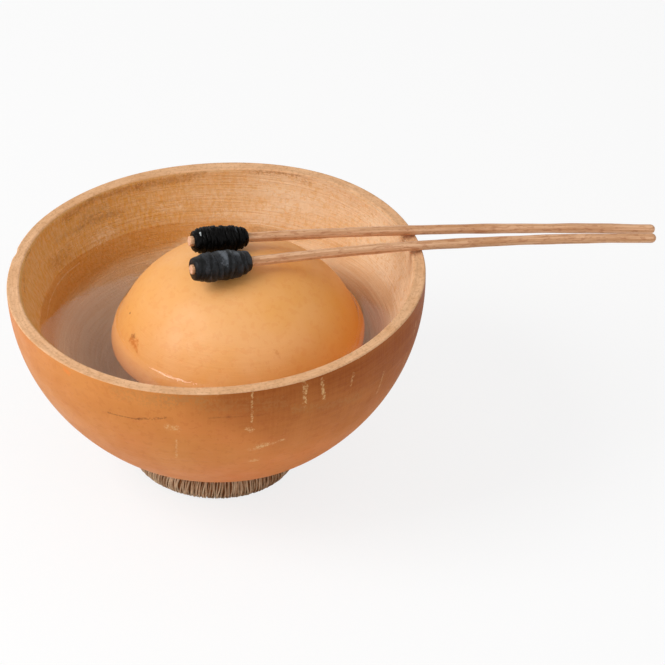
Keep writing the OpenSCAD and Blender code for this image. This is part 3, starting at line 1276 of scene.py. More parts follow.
@dataclass(frozen=True)
class GourdFloat:
    """The smaller half gourd, mouth down in the water."""

    radius: float = 126 * MM
    height: float = 109 * MM
    wall: float = 8 * MM
    skirt: float = 6 * MM
    widest_z: float = 137.174 * MM
    axis: tuple[float, float] = (22 * MM, -3 * MM)
    columns: int = 300
    rows: int = 76
    inner_rows: int = 36

    def build(self, skin: Finish, cut: Finish, flesh: Finish) -> Piece:
        """Builds the float as one closed mesh.

        Args:
            skin: Finish of the outside.
            cut: Finish of the cut edge under water.
            flesh: Finish of the inside.

        Returns:
            The float.
        """
        around = circle(self.columns)
        foot = -math.asin(self.skirt / self.height)
        foot_in = -math.asin(self.skirt / (self.height - self.wall))
        top = math.pi / 2 - 0.0008
        shell = []
        for a in np.linspace(top, foot, self.rows):
            ripe = 0.35 * MM * (1 + math.sin(2 * a)) * ease(np.array((top - a) * 1.6))
            uneven = 1 + 0.7 * np.sin(2 * around + 0.4) + 0.5 * np.sin(5 * around + 3 * a)
            r = np.maximum(self.radius * math.cos(a) - ripe * uneven, 0.02 * MM)
            shell.append((r, self.height * math.sin(a)))
        for a in np.linspace(foot_in, top, self.inner_rows):
            shell.append(((self.radius - self.wall) * math.cos(a), (self.height - self.wall) * math.sin(a)))
        points, lie, edges = [], [], []
        for k, (r, z) in enumerate(shell):
            points.append(ring_of(r, around, self.widest_z + z, self.axis))
            lie.append(ring_of(self.radius, around, 0.0024 * k))
            edges.append(np.exp(-np.abs(z + self.skirt) / (4 * MM)) + 0 * around)
        maker = MeshMaker("float_dome")
        maker.add_tube(points, False, [0] * self.rows + [1] + [2] * self.inner_rows, lie=lie, edge=edges)
        return maker.make([skin, cut, flesh])


# ---------------------------------------------------------------- the water


@dataclass(frozen=True)
class PoolOfWater:
    """The water as one clear body, with a meniscus where it wets bowl and float."""

    bowl: GourdBowl
    float_gourd: GourdFloat
    level: float = 167.174 * MM
    climb: float = 3.0 * MM
    into_wall: float = 1.5 * MM
    columns: int = 300

    def _float_radius(self) -> float:
        """Radius of the float where the meniscus ends on it."""
        share = (self.level + self.climb - self.float_gourd.widest_z) / self.float_gourd.height
        return self.float_gourd.radius * math.sqrt(1 - share * share)

    def build(self, finish: Finish) -> Piece:
        """Builds the water.

        Args:
            finish: The water's material.

        Returns:
            The water.
        """
        around = circle(self.columns)
        middle = np.array([*self.float_gourd.axis, 0.0])
        edge = self.bowl.water_radius(self.level) + self.into_wall
        wet = self._float_radius()
        level = np.array([0.0, 0.0, self.level])
        way = ring_of(1.0, around, 0.0)
        reach = -way @ middle + np.sqrt((way @ middle) ** 2 - middle @ middle + edge**2)
        rings = [middle + way * 0.4 * MM + level]
        rings += [middle + way * wet * away + level for away in (0.35, 0.8, 0.93, 0.97)]
        for gap in (-0.6, 0.0, 0.4, 0.9, 1.5, 2.3, 3.3, 4.6, 6.4, 9.0, 13.0):
            rise = self.climb * math.exp(-max(gap, 0.0) / 1.8)
            rings.append(middle + way * (wet + gap * MM) + np.array([0, 0, self.level + rise]))
        start = wet + 13.0 * MM
        for share in (0.35, 0.7, 0.86, 0.92, 0.95, 0.97, 0.98, 0.988, 0.994, 1.0):
            span = start + (reach - start) * share
            left = (reach - span) / MM
            rise = 1.0 * MM * np.exp(-left / 2.0)
            rings.append(middle + way * span[:, None] + ring_of(0.0, around, self.level + rise))
        rim = rings[-1]
        turned = np.arctan2(rim[:, 1], rim[:, 0])
        a_top = float(self.bowl.angle_at(np.array([self.level]), True)[0])
        for a in np.linspace(a_top, math.pi / 2 - 0.001, 24)[1:]:
            r, z = self.bowl.inner(np.array([a]), -self.into_wall)
            rings.append(ring_of(r[0], turned, z[0]))
        maker = MeshMaker("water_pool")
        edge = np.zeros((len(rings), self.columns))
        edge[5:13] = 1.0
        maker.add_tube(rings, True, edge=list(edge))
        return maker.make([finish])


# ---------------------------------------------------------------- the beaters


class Winding(Enum):
    """How a head is wound."""

    NARROW = "narrow"
    WIDE = "wide"


# The heads stay below this height and the sticks end this much short, inside the CAD's box.
HEAD_CEILING = 275.8 * MM
END_TRIM = 0.6 * MM


@dataclass(frozen=True)
class Beater:
    """A bent stick with a head of wound rubber strip."""

    name: str
    middle: tuple[float, float, float]
    crossing: tuple[float, float]
    pitch: float
    bend: float
    head_length: float
    head_radius: float
    turns: int
    stick_length: float
    winding: Winding
    seed: int
    tip_out: float
    tip_share: float
    neck_share: float
    bare_share: float
    stick_radius: float = 5 * MM
    barrel_power: float = 0.48
    fuller_tip: float = 0.84
    sides: int = 28

    def _frame(self) -> tuple[np.ndarray, float]:
        """Turn of the beater's own frame, and half its span to the rim.

        Returns:
            The turn as a matrix, and the half span.
        """
        run = np.array(self.crossing) - np.array(self.middle[:2])
        yaw = math.atan2(run[1], run[0])
        turn = Matrix.Rotation(yaw, 3, "Z") @ Matrix.Rotation(math.radians(self.pitch), 3, "Y")
        return np.array(turn), float(np.hypot(*run)) / 2

    def lay_round(self, s: float, radius: np.ndarray, around: np.ndarray) -> np.ndarray:
        """Points laid round the stick's middle line at one distance."""
        return self.lay(s + 0 * around, radius * np.cos(around), radius * np.sin(around))

    def lay(self, s: np.ndarray, side: np.ndarray, up: np.ndarray) -> np.ndarray:
        """Points laid along the bend.

        Args:
            s: Distance from the middle of the winding.
            side: How far to the bulging side of the bend.
            up: How far above the bend's plane.

        Returns:
            World points, one a row.
        """
        turn, half = self._frame()
        sine = (s - half) / self.bend
        x = half + (self.bend + side) * sine
        y = (self.bend + side) * np.sqrt(1 - sine**2) - math.sqrt(self.bend**2 - half**2)
        return np.stack([x, y, up], axis=1) @ turn.T + np.array(self.middle)

    def place_at(self, share: float, around: float) -> Vector:
        """The place on the head at a share of its length and degrees round it.

        Args:
            share: Share of the head's length.
            around: Degrees round it.

        Returns:
            The place.
        """
        r = float(self.barrel(np.array(share)))
        turn = np.array([math.radians(around)])
        return Vector(self.lay_round((share - 0.5) * self.head_length, r, turn)[0])

    def barrel(self, u: np.ndarray) -> np.ndarray:
        """Radius of the head along its length.

        Args:
            u: Share of the length.

        Returns:
            The radius there.
        """
        ends = self.tip_share + (self.neck_share - self.tip_share) * u
        swell = np.sin(np.pi * np.clip(u, 0.0, 1.0) ** self.fuller_tip).clip(0.0) ** self.barrel_power
        return self.head_radius * (ends + (1 - ends) * swell)

    def _tip(self) -> float:
        """Distance of the stick's tip."""
        return -self.head_length / 2 - self.tip_out

    def build_stick(self, wood: Finish, end_grain: Finish) -> Piece:
        """Builds the peeled stick, with a sawn tip and a rounded free end.

        Args:
            wood: Finish along the stick.
            end_grain: Finish of the sawn tip.

        Returns:
            The stick.
        """
        turned = circle(self.sides)
        tip, end = self._tip(), self._tip() + self.stick_length - END_TRIM
        profile = [(tip, share) for share in (0.02, 0.35, 0.72, 0.9)]
        profile += [(tip + 0.35 * MM, 0.965), (tip + 0.9 * MM, 1.0)]
        for s in np.linspace(tip + 3 * MM, end - self.stick_radius, 150):
            profile.append((float(s), 1.0))
        for a in range(12, 90, 11):
            c, s = math.cos(math.radians(a)), math.sin(math.radians(a))
            profile.append((end - self.stick_radius + self.stick_radius * s, c))
        profile.append((end, 0.03))
        points, lie, edges = [], [], []
        for s, share in profile:
            knot = 0.16 * MM * math.sin(s * 61 + self.seed) + 0.1 * MM * math.sin(s * 143 + 2 * self.seed)
            facet = 0.1 * MM * np.cos(5 * turned + 6 * math.sin(s * 9 + self.seed))
            r = self.stick_radius * share * np.ones_like(turned) + (knot - 0.12 * MM + facet) * share
            points.append(self.lay_round(s, r, turned))
            lie.append(tube_of(s, r, turned, 0.05 * self.seed))
            near_tip = math.exp(-abs(s - tip) / (0.8 * MM)) * (0.3 if share < 0.8 else 1.0)
            edges.append(near_tip + 0.6 * math.exp(-abs(s - end) / (3 * MM)) + 0 * turned)
        maker = MeshMaker(f"{self.name}_stick_wood")
        maker.add_tube(points, True, [1] * 4 + [0] * (len(profile) - 3), lie=lie, edge=edges)
        return maker.make([wood, end_grain])

    def _add_strip(
        self, maker: MeshMaker, marks: random.Random, first: float, last: float,
        turns: float, width: float, thick: float, lift: float,
    ) -> None:
        """Winds one strip round the head.

        Args:
            maker: The head's mesh.
            marks: Source of small differences.
            first: Share of the head's length at which the strip starts.
            last: Share at which it ends.
            turns: Turns that it makes.
            width: Width of the strip.
            thick: Thickness of the strip.
            lift: How far it stands on what is wound below it.
        """
        steps = int(abs(turns) * 46) + 8
        phase = marks.uniform(0, 2 * math.pi)
        wide = self.winding is Winding.WIDE
        across = np.array([-1.0, -0.97, -0.8, -0.5, 0.0, 0.5, 0.8, 0.97, 1.0, 0.6, 0.0, -0.6])
        half_crown = [0.0, 0.55, 0.86, 0.98] if wide else [-0.3, 0.1, 0.5, 0.84]
        above = np.array([*half_crown, 1.0, *reversed(half_crown), -0.5, -0.5, -0.5])
        tones = [marks.uniform(0.15, 1.0) for _ in range(int(abs(turns)) + 3)]
        points, lie, edges, tone = [], [], [], []
        for i in range(steps):
            t = i / (steps - 1)
            spin = phase + 2 * math.pi * turns * t
            sway = math.sin(spin * 0.83 + self.seed) * 0.5 + math.sin(spin * 2.31 + phase) * 0.35
            u = first + (last - first) * t + (0.12 if wide else 0.3) * width / self.head_length * sway
            half = width / 2 * (1 + 0.14 * math.sin(spin * 1.37 + 2 * phase) + 0.08 * math.sin(spin * 5.1))
            s = (u - 0.5) * self.head_length + half * across
            pinch = ease(np.array(min(t, 1 - t) * steps / 9))
            base = self.barrel(np.clip(s / self.head_length + 0.5, 0.0, 1.0))
            slope = (0.62 if wide else 0.12) * thick * across * (1 if turns > 0 else -1)
            crease = (0.08 if wide else 0.4) * thick * np.sin(7 * across + 2.3 * spin)
            crease = crease * math.sin(3.7 * spin + phase)
            swell = (0.16 if wide else 0.26) * thick * (math.sin(spin * 1.7 + phase) + math.sin(spin * 4.3))
            relief = thick * above + slope + crease * (above > 0.4) + swell
            r = base - thick - max(slope.max(), 0) + relief * (0.25 + 0.75 * pinch) + lift
            r = np.minimum(r - (0.0 if wide else 0.3) * thick, base - 0.05 * MM)
            r = np.maximum(r, self.stick_radius + 0.1 * MM)
            laid = self.lay(s, r * np.cos(spin) + 0 * s, r * np.sin(spin) + 0 * s)
            laid[:, 2] = np.minimum(laid[:, 2], HEAD_CEILING)
            points.append(laid)
            lie.append(np.stack([half * across, 0.02 * spin + 0 * s, r], axis=1))
            edges.append(0.9 * (np.abs(across) > 0.9))
            turn = abs(spin - phase) / (2 * math.pi)
            k = int(turn)
            blend = turn - k
            # Painted shade: the tone falls towards the edge that the next turn covers, and is lightest on the exposed
            # edge.
            shown = 0.5 + 0.5 * across * (1 if turns > 0 else -1)
            tone.append((tones[k] * (1 - blend) + tones[k + 1] * blend) * (0.15 + 0.85 * shown))
        maker.add_tube(points, turns > 0, lie=lie, edge=edges, tone=tone)

    def build_head(self, rubber: Finish) -> Piece:
        """Builds the head: a padded middle and the strips wound over it.

        Args:
            rubber: Finish of the strip.

        Returns:
            The head.
        """
        marks = random.Random(self.seed)
        maker = MeshMaker(f"{self.name}_head_winding")
        turned = circle(self.sides)
        wide = self.winding is Winding.WIDE
        thick = (2.0 if wide else 2.4) * MM
        points, lie = [], []
        bare = self.bare_share
        start, end = bare + 0.012, 0.988
        stations = [(start, None), *((u, u) for u in np.linspace(start, end, 40)), (end, None)]
        for u, at in stations:
            r = self.stick_radius - 0.4 * MM
            if at is not None:
                r = float(self.barrel(np.array(at))) - 0.8 * thick
            s = (u - 0.5) * self.head_length
            points.append(self.lay_round(s, r, turned))
            lie.append(tube_of(s, r, turned))
        plain = [0 * turned] * len(stations)
        maker.add_tube(points, True, caps=False, lie=lie, edge=plain, tone=[0.1 + 0 * turned] * len(stations))
        pitch = self.head_length / self.turns
        width = pitch * (1.25 if wide else 1.1)
        margin = width / 2 / self.head_length
        over = ((bare + margin, 1 - margin, self.turns * (0.9 if wide else 0.98), 1.0, 1.0, 0.0),)
        if wide:
            over += ((0.80, 0.40, 2.2, 1.2, 0.8, 0.25), (0.16, 0.34, 1.3, 0.9, 0.8, 0.2))
        else:
            over += ((0.86, 0.55, -4.3, 0.8, 0.7, 0.2), (0.12, 0.42, 5.2, 0.85, 0.7, 0.2))
        for first, last, turns, broad, stout, lift in over:
            self._add_strip(maker, marks, first, last, turns, width * broad, thick * stout, lift * MM)
        return maker.make([rubber])


# ---------------------------------------------------------------- the ring


@dataclass(frozen=True)
class LashedRing:
    """The straw ring, lashed round and round with cord."""

    middle_radius: float = 66.5 * MM
    section: float = 13.5 * MM
    centre_z: float = 11.5 * MM
    turns: int = 76
    strand_radius: float = 0.86 * MM
    bulge: float = 7.0 * MM
    bulge_at: float = 3.3
    sides: int = 7
    steps: int = 34

    def swell_at(self, angle: float, t: float) -> float:
        """How far the lashing bulges out at one side of the ring."""
        share = 0.5 + 0.5 * math.cos(angle - self.bulge_at)
        return self.bulge * share**6 * max(0.0, math.cos(t - 0.25)) ** 2

    def _place(self, angle: float, t: float, lay: float) -> tuple[np.ndarray, np.ndarray]:
        """The place at an angle round the ring and one round its section, and the way out to it.

        Args:
            angle: Angle round the ring.
            t: Angle round its section.
            lay: Distance from the section's middle.

        Returns:
            The place, and the unit way out to it.
        """
        outward = np.array([math.cos(angle), math.sin(angle), 0.0])
        radial = outward * math.cos(t) + np.array([0.0, 0.0, math.sin(t)])
        place = outward * self.middle_radius + radial * lay + np.array([0.0, 0.0, self.centre_z])
        return place, radial

    def _add_shade_bed(self, maker: MeshMaker) -> None:
        """Lays a dark layer of straw under the strands: painted shade that shows in the gaps between them.

        Args:
            maker: The lashing's mesh.
        """
        rows, columns = 120, 20
        points, lie = [], []
        for angle, t in itertools.product(circle(rows), circle(columns)):
            place, _ = self._place(angle, t, self.section - 2.3 * MM + self.swell_at(angle, t))
            points.append([place[0], place[1], max(place[2], 0.4 * MM)])
            lie.append([0.02 * t, 0.066 * angle, 0.0])
        faces = grid_faces(rows, columns)
        last = (rows - 1) * columns
        faces += [(j, (j + 1) % columns, last + (j + 1) % columns, last + j) for j in range(columns)]
        maker.add(np.array(points), faces, lie=np.array(lie), tone=np.ones(rows * columns))

    def build(self, cord: Finish) -> Piece:
        """Builds each turn of the lashing as a flat bundle of strands.

        Args:
            cord: Finish of the cord.

        Returns:
            The lashing.
        """
        marks = random.Random(7)
        maker = MeshMaker("ring_lashing_cord")
        spread = circle(self.sides)
        strands = ((-2.4, 0.1, 0.0), (-0.8, 0.5, 0.2), (0.7, 0.25, 0.1), (2.2, 0.8, 0.5), (3.2, 0.95, 1.0))
        for turn in range(self.turns):
            start = 2 * math.pi * turn / self.turns
            sway = marks.uniform(-0.7, 0.7)
            for strand, (offset, share_of_dark, sunk) in enumerate(strands):
                # Strands take a random tone, paler on the left and darker on the right: painted light and shade.
                tone = share_of_dark + marks.uniform(-0.3, 0.3) - 0.25 * math.cos(start - self.bulge_at)
                tone = min(1.0, max(0.0, tone))
                thick = self.strand_radius * marks.uniform(0.8, 1.15)
                wave, phase = marks.uniform(0.2, 0.75) * MM, marks.uniform(0, 6.28)
                points, lie = [], []
                for k in range(self.steps + 1):
                    share = k / self.steps
                    t = 2 * math.pi * (share + 0.28)
                    slide = offset * MM + wave * math.sin(3 * t + phase) + sway * MM * math.sin(t + phase)
                    angle = start + 2 * math.pi * share / self.turns + slide / self.middle_radius
                    lay = self.section - thick - sunk * MM + 0.2 * MM * math.sin(2 * t + phase)
                    lay += self.swell_at(angle, t)
                    along = np.array([-math.sin(angle), math.cos(angle), 0.0])
                    centre, radial = self._place(angle, t, lay)
                    ring = centre + np.outer(np.cos(spread), radial) * thick * 0.85
                    ring = ring + np.outer(np.sin(spread), along) * thick
                    ring[:, 2] = np.maximum(ring[:, 2], 0.0)
                    points.append(ring)
                    lie.append(tube_of(0.1 * share, thick, spread, 0.013 * turn) + (0.0, 0.0, 0.007 * strand))
                maker.add_tube(points, lie=lie, tone=[np.full(self.sides, tone)] * len(points))
        self._add_shade_bed(maker)
        return maker.make([cord])


# ---------------------------------------------------------------- studio


@dataclass(frozen=True)
class Studio:
    """A plain pale floor under soft light."""

    floor_colour: Colour = (0.9, 0.9, 0.9)
    world_level: float = 0.5
    key_power: float = 59.0
    fill_power: float = 9.0

    def _lamp(self, name: str, place: tuple[float, float, float], size: float, power: float) -> None:
        """Hangs one softbox that looks at the drum.

        Args:
            name: Name of the lamp.
            place: Where it hangs.
            size: Its side.
            power: Its power in watts.
        """
        data = bpy.data.lights.new(name, "AREA")
        data.shape = "SQUARE"
        data.size = size
        data.energy = power
        lamp = bpy.data.objects.new(name, data)
        spot = Vector(place)
        turn = (Vector((0.0, 0.0, 0.15)) - spot).to_track_quat("-Z", "Y").to_matrix()
        lamp.matrix_world = Matrix.Translation(spot) @ turn.to_4x4()
        bpy.context.scene.collection.objects.link(lamp)

    def _world(self) -> None:
        """A white surround that lights less than it shows."""
        world = bpy.data.worlds.new("surround")
        world.use_nodes = True
        bench = Bench(world.node_tree)
        rays = bench.add("ShaderNodeLightPath").outputs
        seen = bench.math("MAXIMUM", rays["Is Camera Ray"], rays["Is Glossy Ray"])
        seen = bench.math("MAXIMUM", seen, rays["Is Transmission Ray"])
        level = bench.add("ShaderNodeMapRange")
        bench.feed(level, Value=seen, To_Min=self.world_level, To_Max=1.0)
        background = world.node_tree.nodes["Background"]
        bench.feed(background, Color=WHITE, Strength=level.outputs[0])
        bpy.context.scene.world = world

    def _floor(self) -> None:
        """The floor, one wide sheet at z = 0."""
        coat = Coat("pale_floor")
        bench = coat.bench
        bench.feed(coat.shader, Base_Color=self.floor_colour, Roughness=0.9)
        glow = bench.feed(bench.add("ShaderNodeEmission"), Color=WHITE, Strength=1.0)
        share = bench.times(bench.add("ShaderNodeLightPath").outputs["Is Camera Ray"], 0.8)
        finish = coat.done_with(share, glow)
        maker = MeshMaker("studio_floor")
        wide = 14.0
        corner_points = [[-wide, -wide, 0], [wide, -wide, 0], [wide, wide, 0], [-wide, wide, 0]]
        maker.add(np.array(corner_points), [(0, 1, 2, 3)])
        floor = maker.make([finish])
        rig.stage(floor)

    def build(self) -> None:
        """Builds floor, surround and lamps."""
        self._floor()
        self._world()
        self._lamp("key_softbox", (-2.0, -0.7, 2.1), 1.6, self.key_power)
        self._lamp("fill_softbox", (1.8, -1.6, 1.4), 1.4, self.fill_power)


# ---------------------------------------------------------------- marks


@dataclass(frozen=True)
class Wall:
    """A gourd's wall, on which places are told by angle and height."""

    tree: BVHTree
    middle: tuple[float, float] = (0.0, 0.0)
    inner: bool = False

    def at(self, around: float, height: float) -> Vector:
        """The place at an angle and a height.

        Args:
            around: Degrees from the front towards the right.
            height: Millimetres above the floor.

        Returns:
            The place on the wall.
        """
        turn = math.radians(around)
        out = Vector((math.sin(turn), -math.cos(turn), 0.0))
        axis = Vector((*self.middle, height * MM))
        start, way = (axis, out) if self.inner else (axis + out, -out)
        hit = self.tree.ray_cast(start, way)[0]
        return hit if hit is not None else self.tree.find_nearest(axis)[0]

    def beside(self, place: Vector, right: float, up: float) -> Vector:
        """The place so many millimetres along the wall from another one.

        Args:
            place: The other place.
            right: Millimetres to the right.
            up: Millimetres up.

        Returns:
            The place on the wall.
        """
        x, y = place.x - self.middle[0], place.y - self.middle[1]
        around = math.atan2(x, -y) + right * MM / math.hypot(x, y)
        return self.at(math.degrees(around), place.z / MM + up)

    def streak(self, spots: Sequence[tuple[float, float]], *look: object) -> list[Mark]:
        """Marks through places told by degrees and millimetres of height, with a look as for joined."""
        return joined([self.at(*spot) for spot in spots], *look)

    def streak_at(self, place: Vector, spots: Sequence[tuple[float, float]], *look: object) -> list[Mark]:
        """Marks through places told by millimetres to the right of a place and above it."""
        return joined([self.beside(place, *spot) for spot in spots], *look)


def joined(
    places: Sequence[Vector], width: float, ragged: float, colour: Colour, strength: float
) -> list[Mark]:
    """Marks that join places one after the other.

    Args:
        places: The places in order.
        width: Width of the marks in millimetres.
        ragged: How torn their edges are.
        colour: Their colour.
        strength: How much they cover.

    Returns:
        One mark between each two places.
    """
    look = width * MM, ragged, colour, strength
    return [Mark(tuple(a), tuple(b), *look) for a, b in zip(places, places[1:])]


# ---------------------------------------------------------------- the whole drum


class WaterDrum:
    """Dresses the whole object and notes where its marks show."""

    def __init__(self, effects: Effects, sight: Sight, book: PointBook) -> None:
        """Takes the shared effects, the camera and the point book.

        Args:
            effects: The shared effects.
            sight: The camera.
            book: The point book.
        """
        self.effects = effects
        self.sight = sight
        self.book = book
        self.pieces: list[Piece] = []

    def _anchor(self, wall: Wall, point: ImagePoint) -> Vector:
        """The place on a wall that shows at a named image point."""
        return self.sight.place_on(wall.tree, point.x, point.y)

    def _noted(self, point: ImagePoint, marks: list[Mark]) -> list[Mark]:
        """The same marks, after the middle of the first is noted for a point."""
        self.book.note(point, (Vector(marks[0].start) + Vector(marks[0].end)) / 2)
        return marks

    def _bowl_marks(self, wall: Wall) -> tuple[Mark, ...]:
        """The drips, cracks, scrapes and patches on the bowl's outside.

        Args:
            wall: The wall that carries them.

        Returns:
            The marks.
        """
        pale, dark = (0.78, 0.50, 0.22), (0.2, 0.06, 0.015)
        amber, smoke = (0.8, 0.22, 0.03), (0.42, 0.2, 0.06)
        drip, rim_drip, scrape = (self._anchor(wall, point) for point in (LONG_DRIP, RIM_DRIP, PALE_SCRAPE))
        crack, patch = self._anchor(wall, LEFT_CRACK), self._anchor(wall, PALE_PATCH)
        marks = []
        for point, place, spots, *look in (
            (LONG_DRIP, drip, ((0, 18), (0, -18)), 1.0, 0.9, pale, 0.6),
            (RIM_DRIP, rim_drip, ((-2, 12), (2, -12)), 1.5, 0.9, pale, 0.7),
            (PALE_SCRAPE, scrape, ((-13, -3), (13, 3)), 1.4, 0.9, pale, 0.55),
            (PALE_PATCH, patch, ((-4, 0), (4, 0)), 3.0, 0.95, pale, 0.55),
            (LEFT_CRACK, crack, ((-2, -1), (2, 0)), 1.2, 0.6, dark, 0.6),
        ):
            marks += self._noted(point, wall.streak_at(place, spots, *look))
        for place, spots, *look in (
            (drip, ((-3, -27), (0, -29)), 2.4, 0.9, pale, 0.6),
            (scrape, ((-18, -5), (-5, 0)), 2.8, 1.0, pale, 0.4),
            (crack, ((-32, -3), (-2, -1)), 0.9, 0.5, dark, 0.6),
            (crack, ((2, 0), (29, 8)), 1.4, 0.9, dark, 0.55),
        ):
            marks += wall.streak_at(place, spots, *look)
        for spots, *look in (
            (((25, 222), (25.5, 194)), 1.5, 0.95, pale, 0.55),
            (((26, 216), (25.5, 190)), 0.9, 1.0, pale, 0.45),
            (((-1, 190), (5, 191)), 1.1, 0.7, dark, 0.5),
            (((5, 191), (14, 190)), 0.7, 0.8, dark, 0.4),
            (((-10.5, 156), (-11.5, 125)), 0.9, 1.0, pale, 0.5),
            (((11, 120), (13, 120)), 2.2, 0.95, pale, 0.45),
            (((-44, 208), (-43, 207)), 3.5, 0.5, amber, 0.6),
            (((-13, 212), (-3, 213)), 5.0, 1.0, smoke, 0.45),
            (((-26, 208), (-12, 208)), 8.0, 0.9, smoke, 0.3),
            (((-2, 206), (18, 202)), 8.0, 0.9, smoke, 0.28),
            (((23, 190), (44, 175)), 5.0, 0.9, smoke, 0.35),
        ):
            marks += wall.streak(spots, *look)
        for around, height, length in ((41, 209, 13), (54, 186, 26), (68, 178, 13), (72, 208, 14)):
            marks += wall.streak(((around, height), (around - 1, height - length)), 1.2, 1.0, pale, 0.38)
        return tuple(marks)

    def _wall_marks(self, wall: Wall) -> tuple[Mark, ...]:
        """The stains and scraped lines on the bowl's inner wall, with painted shade and painted highlights near the
        waterline.

        Args:
            wall: The wall that carries them.

        Returns:
            The marks.
        """
        brown, pale, sooty = (0.42, 0.18, 0.045), (0.9, 0.66, 0.42), (0.46, 0.25, 0.1)
        # The colour named wet serves only the painted shade under the water at the back right.
        amber, wet = (0.58, 0.22, 0.03), (0.42, 0.2, 0.06)
        marks = []
        for spots, *look in (
            (((-128, 208), (-139, 214), (-155, 211), (-170, 214), (-175, 221)), 4.4, 0.6, brown, 0.5),
            (((-134, 196), (-148, 191)), 4.4, 0.6, brown, 0.45),
            (((-117, 180), (-125, 181)), 5.0, 0.8, brown, 0.35),
            (((-137, 175), (-142, 177)), 6.0, 0.9, pale, 0.45),
            (((-135, 201), (-143, 201)), 5.0, 0.7, sooty, 0.35),
            (((-161, 186), (-168, 186)), 5.0, 0.9, pale, 0.35),
            (((-178, 174), (-187, 177)), 4.0, 0.9, pale, 0.4),
            (((171, 220), (152, 217)), 2.0, 0.9, brown, 0.3),
            (((168, 223), (155, 223)), 3.0, 1.0, brown, 0.5),
            (((145, 210), (127, 207), (111, 211)), 1.2, 0.8, pale, 0.5),
            (((104, 213), (94, 185)), 1.1, 0.6, brown, 0.55),
            (((101, 215), (73, 227)), 0.9, 0.5, pale, 0.6),
            (((150, 140), (141, 164)), 0.6, 0.4, pale, 0.4),
            # Painted highlight: a pale line just under the water along the left wall, where the meniscus catches
            # light.
            (((-96, 153), (-104, 158), (-113, 161), (-120, 162.5), (-127, 162)), 1.2, 0.5, pale, 0.4),
            (((-122, 195), (-132, 192), (-144, 193)), 4.0, 0.7, sooty, 0.35),
            (((-115, 181), (-126, 167)), 7.0, 0.8, amber, 0.4),
            # Painted shade: a broad brown mark under the water at the back right, where the sticks and float shade it.
            (((168, 158), (153, 160)), 7.5, 0.4, wet, 0.55),
            # Painted highlight: a pale line along the waterline at the back right, where the meniscus catches light.
            (((171, 167.5), (167, 168), (162, 167), (157, 166), (152, 167)), 0.8, 0.3, pale, 0.7),
            (((-107, 212), (-101, 212)), 1.2, 1.0, brown, 0.7),
            (((-97, 209), (-89, 201)), 1.2, 1.0, brown, 0.7),
        ):
            marks += wall.streak(spots, *look)
        return tuple(marks)

    def _float_marks(self, wall: Wall) -> tuple[Mark, ...]:
        """The dot, scar and freckles on the float.

        Args:
            wall: The wall that carries them.

        Returns:
            The marks.
        """
        brown, amber = (0.3, 0.09, 0.02), (0.6, 0.17, 0.02)
        dot, scar = self._anchor(wall, FLOAT_DOT), self._anchor(wall, FLOAT_SCAR)
        marks = self._noted(FLOAT_DOT, wall.streak_at(dot, ((-0.5, 0), (0.5, 0)), 1.3, 0.3, brown, 0.9))
        marks += self._noted(FLOAT_SCAR, wall.streak_at(scar, ((-4, 0), (4, 0)), 4.8, 0.7, amber, 0.8))
        marks += wall.streak_at(scar, ((-6, 3), (-3, 4)), 3.0, 0.5, brown, 0.6)
        marks += wall.streak_at(scar, ((6, -2), (10, -4)), 2.4, 0.6, amber, 0.6)
        marks += wall.streak(((-86, 190), (-85, 189)), 0.9, 0.4, amber, 0.5)
        marks += wall.streak(((21, 197), (22, 193)), 2.2, 0.7, amber, 0.35)
        return tuple(marks)

    def _head_marks(self, tree: BVHTree, beater: Beater) -> tuple[Mark, ...]:
        """Painted highlights, a faint grey line, and painted shade in the laps between the strips of a head.

        Args:
            tree: Search tree of the head.
            beater: The beater.

        Returns:
            The marks.
        """
        painted_glint, grey, black = (0.75, 0.8, 0.8), (0.12, 0.132, 0.15), (0.001, 0.001, 0.001)

        def on_head(spots: Sequence[tuple[float, float]]) -> list[Vector]:
            """Places told by the share of the head's length and degrees round it."""
            return [tree.find_nearest(beater.place_at(*spot))[0] for spot in spots]

        if beater.winding is Winding.NARROW:
            # Painted highlight: a small pale spot on the top of the rear head near its tip.
            marks = joined(on_head(((0.11, 106), (0.12, 121))), 0.9, 0.5, painted_glint, 0.9)
            return tuple(marks + joined(on_head(((0.75, 96), (0.76, 120))), 0.6, 0.8, grey, 0.3))
        # Painted highlights: grey patches on the top of the front head.
        marks = joined(on_head(((0.5, 76), (0.51, 106), (0.49, 135))), 4.5, 0.4, grey, 0.8)
        marks += joined(on_head(((0.67, 92), (0.75, 104))), 3.2, 0.5, grey, 0.6)
        # Painted shade: black lines in the steps where one turn laps over the next.
        laps = (0.14, -0.09, 1.4), (0.3, -0.12, 1.7), (0.6, -0.06, 2.3), (0.79, 0.05, 2.1)
        for share, lean, width in laps:
            lap = [(share + lean * t, 75 + 140 * t) for t in (0.0, 0.25, 0.5, 0.75, 1.0)]
            marks += joined(on_head(lap), width, 0.25, black, 0.9)
        return tuple(marks)

    def _keep(self, piece: Piece, body: str, node: str, slot: str) -> None:
        """Puts a finished piece on its body in place of its CAD node, and keeps it.

        Args:
            piece: The finished piece.
            body: CAD body that it rides on.
            node: CAD node that it stands for.
            slot: Material slot of the record.
        """
        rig.ride(piece, body)
        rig.replaces(piece, node)
        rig.slot(piece, slot)
        LOG.info("%s: %d faces on %s, for %s", piece.name, len(piece.data.polygons), body, node)
        self.pieces.append(piece)

